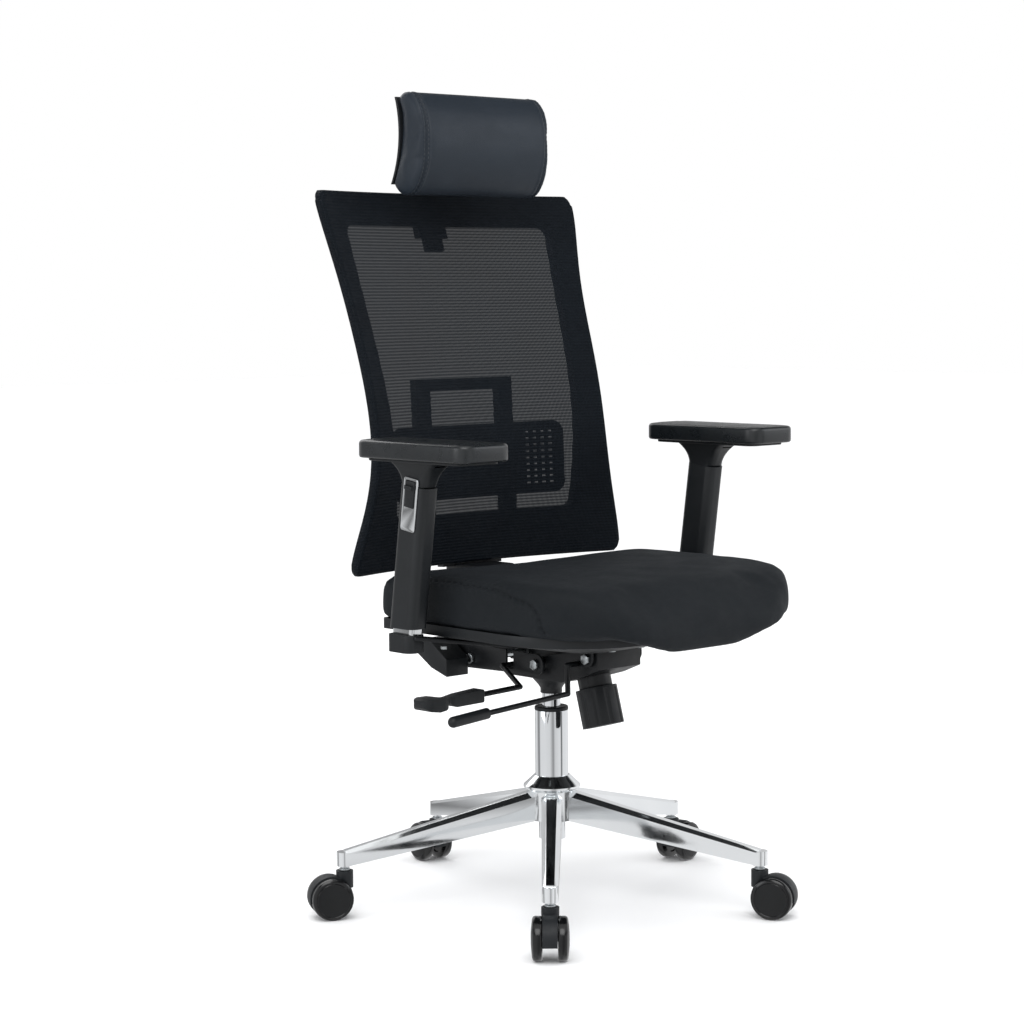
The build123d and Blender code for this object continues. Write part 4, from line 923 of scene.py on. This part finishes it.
# ---------------------------------------------------------------- back
@dataclass
class Back:
    """The framed back: mesh stretched round the rim, spine loop and lumbar pad."""

    inset: float = 0.0025
    columns: int = 96
    rows: int = 110
    flat: tuple[float, float] = (0.60, 0.62)
    flat_area: float = 0.36
    # the turn round the frame's edge: how far out and how far back each ring lies
    turns: tuple = ((0.0019, 0.0009), (0.0032, 0.0030), (0.0037, 0.0060), (0.0037, 0.0150), (0.0026, 0.0172),
                    (-0.0020, 0.0182), (-0.0120, 0.0186))

    def half_widths(self, node: bpy.types.Object, heights: Sequence[float]) -> list[float]:
        """The CAD mesh's half width at each height, where its edges cross that level.

        Args:
            node: the CAD mesh.
            heights: the levels, in metres.

        Returns:
            One half width per level.
        """
        places = coordinates_of(node)
        ends = np.array([tuple(e.vertices) for e in node.data.edges])
        first, last = places[ends[:, 0]], places[ends[:, 1]]
        found = []
        for z in heights:
            below = np.minimum(first[:, 2], last[:, 2]) <= z
            above = np.maximum(first[:, 2], last[:, 2]) >= z
            a, b = first[below & above], last[below & above]
            run = b[:, 2] - a[:, 2]
            share = np.where(np.abs(run) > 1e-9, (z - a[:, 2]) / np.where(np.abs(run) > 1e-9, run, 1), 0)
            found.append(float(np.abs(a[:, 0] + (b[:, 0] - a[:, 0]) * share).max()))
        return found

    def build(self, frame: dict) -> None:
        """Makes the mesh, then rounds and dresses what is behind it.
        """
        self.cover(frame)
        for part in (
            Rounded("back_frame", "back", Shop.nylon, "frame_nylon", 3.0, 3, 40.0),
            Rounded("back_spine", "back", Shop.nylon, "frame_nylon", 3.5, 3),
            Rounded("back_screws", "back", Shop.zinc, "zinc_plated_steel", 0.5),
            Rounded("lumbar_pad", "lumbar", Shop.nylon, "lumbar_plastic", 0.5, 2),
        ):
            part.build(frame)

    def cover(self, frame: dict) -> bpy.types.Object:
        """Stretches the mesh over the frame's face and round its edge.


        Returns:
            The mesh.
        """
        node = frame["nodes"]["back_mesh"]
        low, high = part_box("back_mesh")
        height = high.z - low.z
        points, uvs = [], []
        shares = [0.5 - 0.5 * math.cos(math.pi * row / self.rows) for row in range(self.rows + 1)]
        shares = [0.35 * share + 0.65 * row / self.rows for row, share in enumerate(shares)]
        levels = [low.z + self.inset + (height - 2 * self.inset) * share for share in shares]
        for z, wide in zip(levels, self.half_widths(node, levels)):
            half = wide - self.inset
            for column in range(self.columns + 1):
                x = half * (2 * column / self.columns - 1)
                found, place, normal, _ = node.ray_cast(Vector((x, -0.5, z)), Vector((0, 1, 0)))
                if not found:
                    place = node.closest_point_on_mesh(Vector((x, (low.y + high.y) / 2, z)))[1]
                points.append(Vector((x, place.y - 0.0006, z)))
                uvs.append((x, z))
        width = self.columns + 1
        faces = [(r * width + c, r * width + c + 1, (r + 1) * width + c + 1, (r + 1) * width + c)
                 for r in range(self.rows) for c in range(self.columns)]
        rim = ([c for c in range(width)] + [r * width + self.columns for r in range(1, self.rows + 1)]
               + [self.rows * width + c for c in range(self.columns - 1, -1, -1)]
               + [r * width for r in range(self.rows - 1, 0, -1)])
        self.wrap(points, uvs, faces, rim)
        cloth = mesh_object("back_mesh_cloth", points, faces)
        layer = cloth.data.uv_layers.new(name="cloth")
        for loop in cloth.data.loops:
            layer.data[loop.index].uv = uvs[loop.vertex_index]
        with editing(cloth):
            bpy.ops.mesh.remove_doubles(threshold=1e-6)
        activate(cloth)
        bpy.ops.object.shade_smooth()
        dress(cloth, Shop.mesh, "back", "mesh_fabric", "back_mesh")
        return cloth

    def wrap(self, points: list, uvs: list, faces: list, rim: list) -> None:
        """Carries the mesh round the frame's edge to its back.

        Args:
            points: the mesh's points so far; the wrapped ones are added.
            uvs: their places on the cloth; added to as well.
            faces: the faces; added to as well.
            rim: the numbers of the points round the mesh's edge, in order.
        """
        count = len(rim)
        normals = []
        for i in range(count):
            a, b = points[rim[i - 1]], points[rim[(i + 1) % count]]
            run = Vector((b.x - a.x, 0, b.z - a.z))
            normals.append(Vector((run.z, 0, -run.x)).normalized())
        last = list(rim)
        for out, back in self.turns:
            ring = []
            for i, index in enumerate(rim):
                ring.append(len(points))
                points.append(points[index] + normals[i] * out + Vector((0, back, 0)))
                u, v = uvs[index]
                uvs.append((u + normals[i].x * (out + back), v + normals[i].z * (out + back)))
            for i in range(count):
                j = (i + 1) % count
                faces.append((last[j], last[i], ring[i], ring[j]))
            last = ring


# ---------------------------------------------------------------- headrest
@dataclass
class Headrest:
    """The leather headrest: a padded roll with sewn end panels, on its shell and post."""

    voxel: float = 0.004
    fine_voxel: float = 0.0038
    cap: float = 0.006
    seam_in: float = 0.011
    row_gap: float = 0.0032
    stitch: float = 0.0042
    stitch_step: float = 0.0034
    thread: float = 0.00042

    def build(self, frame: dict) -> None:
        """Makes the pad, its stitching, the shell and the post.
        """
        Rounded("headrest_post", "headrest_slider", Shop.powder, "black_steel", 1.0, 3).build(frame)
        Rounded("headrest_shell", "headrest", Shop.plastic, "moulded_black", 1.2, 3).build(frame)
        pad = self.pad(frame)
        low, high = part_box("headrest_cushion")
        lines = []
        for side in SIDES.values():
            for offset in (self.seam_in - self.row_gap, self.seam_in + self.row_gap):
                lines.append(self.ring(pad, side * (high.x - offset), low, high, self.stitch_step))
        sewn = stitches("headrest_stitching", lines, pad, self.stitch, self.thread)
        dress(sewn, Shop.thread, "headrest", "headrest_leather")

    def ring(self, pad: bpy.types.Object, x: float, low: Vector, high: Vector,
             pitch: float) -> list[Vector]:
        """A line round the pad at one X, on its surface.

        Args:
            pad: the pad.
            x: where the line lies.
            low: the CAD pad's lowest corner.
            high: its highest corner.
            pitch: the distance between the points, in metres.

        Returns:
            The line's points.
        """
        centre = Vector((x, (low.y + high.y) / 2, (low.z + high.z) / 2))
        found = []
        for k in range(240):
            angle = 2 * math.pi * k / 240
            way = Vector((0, math.cos(angle), math.sin(angle)))
            hit, place, _, _ = pad.ray_cast(centre + way * 0.2, -way)
            if hit:
                found.append(place)
        return spaced(found, pitch, closed=True)

    def pad(self, frame: dict) -> bpy.types.Object:
        """Makes the padded roll from the CAD pad, swollen between its seams.


        Returns:
            The pad.
        """
        pad = cad_copy(frame, "headrest_cushion", "headrest_pad")
        with editing(pad):
            bpy.ops.mesh.remove_doubles(threshold=1e-5)
        low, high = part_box("headrest_cushion")
        middle = (high.y + low.y) / 2
        activate(pad)
        pad.data.remesh_voxel_size = self.voxel
        bpy.ops.object.voxel_remesh()
        apply_modifier(pad, "SMOOTH", factor=0.5, iterations=9)
        inflate(pad, self.fine_voxel, self.cap, 3.0, held=lambda p: p[:, 1] > middle + 0.022)
        for side in SIDES.values():
            seam = self.ring(pad, side * (high.x - self.seam_in), low, high, 0.002)
            groove(pad, seam, 0.0019, 0.0021, 0.0009, 0.18, 0.0068)
        box_uv(pad)
        activate(pad)
        bpy.ops.object.shade_smooth()
        dress(pad, Shop.leather, "headrest", "headrest_leather", "headrest_cushion")
        return pad


# ---------------------------------------------------------------- arms
@dataclass
class Arm:
    """One armrest: post, sleeve, bezel, release button and padded top."""

    word: str
    pad_corner: float = 0.022
    pad_edge: float = 0.0055
    pad_foot: float = 0.0035
    crown: tuple = (0.0007, 0.0004, 0.0002)
    crown_step: float = 0.006
    flare: float = 0.036
    flare_drawn: float = 0.27
    lean: float = 8.0
    # the strap's screw: radius, height, and where it is
    screw_radius: float = 0.0045
    screw_height: float = 0.004
    screw_x: float = 0.236
    screw_in: float = 0.014
    screw_z: float = 0.4135

    def build(self, frame: dict) -> None:
        """Builds the arm's pieces.
        """
        w = self.word
        for part in (
            Rounded(f"arm_bracket_{w}", "seat", Shop.powder, "black_steel", 0.8),
            Rounded(f"arm_post_{w}", "seat", Shop.plated, "chromed_post", 0.5),
            Rounded(f"arm_end_cap_{w}", "seat", Shop.plastic, "moulded_black", 2.5, 3),
            Rounded(f"arm_sleeve_{w}", f"arm_{w}", Shop.nylon, "arm_nylon", 0.8, 3, 30.0, self.draw_in),
            Rounded(f"arm_bezel_{w}", f"arm_{w}", Shop.plated, "chromed_plastic", 0.6, 2),
            Rounded(f"arm_button_{w}", f"arm_button_{w}", Shop.plastic, "arm_button_plastic", 1.0, 3),
            Rounded(f"arm_pad_plate_{w}", f"arm_pad_{w}", Shop.plastic, "moulded_black", 1.0),
        ):
            part.build(frame)
        self.pad()
        self.strap_screw()

    def draw_in(self, places: np.ndarray) -> np.ndarray:
        """Draws the neck's flare in, front and back, to the slimmer trumpet of the moulding.

        Args:
            places: the sleeve's vertices.

        Returns:
            Their new places.
        """
        top = places[:, 2].max()
        share = np.clip((places[:, 2] - (top - self.flare)) / self.flare, 0, 1)
        wide = np.abs(places[:, 2] - top) < 1e-4
        centre = (places[wide, 1].max() + places[wide, 1].min()) / 2
        axis = centre + (top - places[:, 2]) * math.tan(math.radians(self.lean))
        places[:, 1] = axis + (places[:, 1] - axis) * (1 - self.flare_drawn * share)
        return places

    def pad(self) -> bpy.types.Object:
        """Makes the padded top: a rounded slab with a soft crown.

        Returns:
            The pad.
        """
        low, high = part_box(f"arm_pad_{self.word}")
        middle, size = (low + high) / 2, high - low
        clear_selection()
        bpy.ops.mesh.primitive_cube_add(size=1, location=middle, scale=size)
        pad = bpy.context.active_object
        pad.name = f"arm_top_{self.word}"
        settle(pad)
        with editing(pad):
            pick(pad, "edges", lambda place, way: abs(way.z) > 0.9)
            bpy.ops.mesh.bevel(offset=self.pad_corner, segments=8, affect="EDGES")
            pick(pad, "edges", lambda place, way: abs(way.z) < 0.1 and place.z > middle.z)
            bpy.ops.mesh.bevel(offset=self.pad_edge, segments=5, affect="EDGES")
            pick(pad, "edges", lambda place, way: abs(way.z) < 0.1 and place.z < low.z + 1e-5)
            bpy.ops.mesh.bevel(offset=self.pad_foot, segments=3, affect="EDGES")
            for rise in self.crown:
                pick(pad, "faces", lambda place, way: way.z > 0.99 and abs(place.x - middle.x) < 1e-3)
                bpy.ops.mesh.inset(thickness=self.crown_step)
                bpy.ops.transform.translate(value=(0, 0, rise))
        smooth(pad, 40)
        node = f"arm_pad_{self.word}"
        dress(pad, Shop.foam_skin, node, "arm_pad_polyurethane", node)
        return pad

    def strap_screw(self) -> bpy.types.Object:
        """Makes the screw under the strap, near its front edge: a low head with a sunk drive.

        Returns:
            The screw.
        """
        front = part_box(f"arm_bracket_{self.word}")[0].y
        place = (SIDES[self.word] * self.screw_x, front + self.screw_in, self.screw_z)
        clear_selection()
        bpy.ops.mesh.primitive_cylinder_add(vertices=24, radius=self.screw_radius, depth=self.screw_height,
                                            location=place)
        screw = bpy.context.active_object
        screw.name = f"strap_screw_{self.word}"
        settle(screw)
        with editing(screw):
            pick(screw, "faces", lambda place, way: way.z < -0.9)
            bpy.ops.mesh.inset(thickness=0.0012)
            bpy.ops.mesh.inset(thickness=0.0009)
            bpy.ops.transform.translate(value=(0, 0, 0.0012))
        smooth(screw, 30)
        return dress(screw, Shop.zinc, "seat", "zinc_plated_steel")


# ---------------------------------------------------------------- studio
@dataclass
class Studio:
    """A plain pale floor, soft lights, the room that the bright metal reflects, and the camera."""

    camera_place: tuple = (-2.528, -2.703, 0.916)
    camera_turn: float = -42.2
    camera_pitch: float = -5.0
    camera_roll: float = -0.46
    lens: float = 87.1
    # direction round the room in turns, and how bright it is there: what upright chrome reflects
    walls: tuple = ((0.0, 0.92), (0.10, 0.85), (0.16, 0.35), (0.20, 0.80), (0.30, 0.95), (0.335, 0.06),
                    (0.36, 0.95), (0.50, 1.0), (0.60, 0.75), (0.64, 0.35), (0.70, 0.55), (0.78, 0.95),
                    (0.86, 0.2), (0.90, 0.9), (1.0, 0.92))

    def build(self) -> None:
        """Sets up the whole studio."""
        self.floor()
        self.world()
        self.lamp("key", (-2.2, -2.2, 3.2), (0, 0, 0.6), 2.4, 62.0, "#ffffff")
        self.lamp("fill", (2.6, -2.6, 2.2), (0, 0, 0.6), 2.6, 34.0, "#f6f9ff")
        self.lamp("back", (0.6, 3.0, 2.8), (0, 0, 0.7), 2.4, 34.0, "#ffffff")
        self.lamp("left", (-3.2, 0.8, 1.6), (0, 0, 0.6), 1.8, 22.0, "#f8faff")
        self.daylight(1.15)
        self.camera()
        bpy.context.scene.view_settings.view_transform = "Standard"

    def daylight(self, strength: float) -> None:
        """Lights the floor evenly from above.

        Args:
            strength: the light's strength.
        """
        data = bpy.data.lights.new("daylight", "SUN")
        data.energy = strength
        data.angle = math.radians(70)
        linked("daylight", data).rotation_euler = (math.radians(14), math.radians(-10), 0)

    def floor(self) -> None:
        """Lays the floor."""
        clear_selection()
        bpy.ops.mesh.primitive_plane_add(size=40, location=(0, 0, 0))
        floor = bpy.context.active_object
        floor.name = "studio_floor"
        floor.data.materials.append(Shop.paper.material())
        floor.visible_glossy = False

    def world(self) -> None:
        """Lights the room: white for the camera, walls and a dark ceiling in reflections."""
        world = bpy.data.worlds.new("studio")
        bpy.context.scene.world = world
        world.use_nodes = True
        tree = world.node_tree
        tree.nodes.clear()
        way = add_node(tree, "ShaderNodeTexCoord")
        parts = add_node(tree, "ShaderNodeSeparateXYZ", links={0: way.outputs["Generated"]})
        angle = add_node(tree, "ShaderNodeMath", {"operation": "ARCTAN2"},
                         {0: parts.outputs[1], 1: parts.outputs[0]})
        turn = add_node(tree, "ShaderNodeMath", {"operation": "MULTIPLY_ADD", 1: 0.5 / math.pi, 2: 0.5},
                        {0: angle.outputs[0]})
        walls = add_node(tree, "ShaderNodeValToRGB", links={0: turn.outputs[0]})
        ramp = walls.color_ramp
        while len(ramp.elements) > 1:
            ramp.elements.remove(ramp.elements[-1])
        for i, (place, value) in enumerate(self.walls):
            stop = ramp.elements[0] if i == 0 else ramp.elements.new(place)
            stop.position = place
            stop.color = (value, value, value * 1.01, 1)
        edge = {"interpolation_type": "SMOOTHSTEP", 1: 0.42, 2: 0.58, 3: 0.0, 4: 1.0}
        ceiling = add_node(tree, "ShaderNodeMapRange", edge, {0: parts.outputs[2]})
        room = add_node(tree, "ShaderNodeMix", {"data_type": "RGBA", 7: (0.012, 0.013, 0.015, 1)},
                        {0: ceiling.outputs[0], 6: walls.outputs[0]})
        rays = add_node(tree, "ShaderNodeLightPath")
        seen = add_node(tree, "ShaderNodeMix", {"data_type": "RGBA", 6: (0.80, 0.805, 0.815, 1)},
                        {0: rays.outputs["Is Glossy Ray"], 7: room.outputs[2]})
        white = add_node(tree, "ShaderNodeMix", {"data_type": "RGBA", 7: (1.0, 1.0, 1.0, 1)},
                         {0: rays.outputs["Is Camera Ray"], 6: seen.outputs[2]})
        background = add_node(tree, "ShaderNodeBackground", {"Strength": 1.0}, {"Color": white.outputs[2]})
        add_node(tree, "ShaderNodeOutputWorld", links={"Surface": background.outputs[0]})

    def lamp(self, name: str, place: Sequence[float], aim: Sequence[float], size: float, power: float,
             colour: str) -> None:
        """Hangs one soft box.

        Args:
            name: the lamp's name.
            place: where it hangs.
            aim: the point that it faces.
            size: its side, in metres.
            power: its power in watts.
            colour: its colour as sRGB hex.
        """
        data = bpy.data.lights.new(name, "AREA")
        data.size = size
        data.energy = power
        data.color = linear(colour)[:3]
        lamp = linked(name, data)
        lamp.location = place
        lamp.rotation_euler = (Vector(aim) - Vector(place)).to_track_quat("-Z", "Y").to_euler()

    def camera(self) -> None:
        """Places the camera."""
        turn = math.radians(self.camera_turn)
        pitch = math.radians(self.camera_pitch)
        roll = math.radians(self.camera_roll)
        level = Vector((-math.sin(turn), math.cos(turn), 0))
        right = Vector((math.cos(turn), math.sin(turn), 0))
        forward = level * math.cos(pitch) + Vector((0, 0, math.sin(pitch)))
        up = Vector((0, 0, math.cos(pitch))) - level * math.sin(pitch)
        tilted_right = right * math.cos(roll) + up * math.sin(roll)
        tilted_up = up * math.cos(roll) - right * math.sin(roll)
        data = bpy.data.cameras.new("camera")
        data.sensor_width = 36
        data.lens = self.lens
        camera = linked("camera", data)
        turned = Matrix((tilted_right, tilted_up, -forward)).transposed().to_4x4()
        camera.matrix_world = Matrix.Translation(self.camera_place) @ turned
        bpy.context.scene.camera = camera


def main(frame: dict) -> None:
    """Builds the chair's visual model round the CAD frame.
    """
    logging.basicConfig(level=logging.INFO, format="%(name)s %(message)s")
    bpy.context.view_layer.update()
    Studio().build()
    seed = None
    for number in range(1, 6):
        seed = Caster(number).build(frame, seed)
    bpy.data.objects.remove(seed)
    Base().build(frame)
    Mechanism().build(frame)
    Seat().build(frame)
    Back().build(frame)
    Headrest().build(frame)
    for word in SIDES:
        Arm(word).build(frame)
    clear_selection()


if __name__ == "__main__":
    main(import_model())
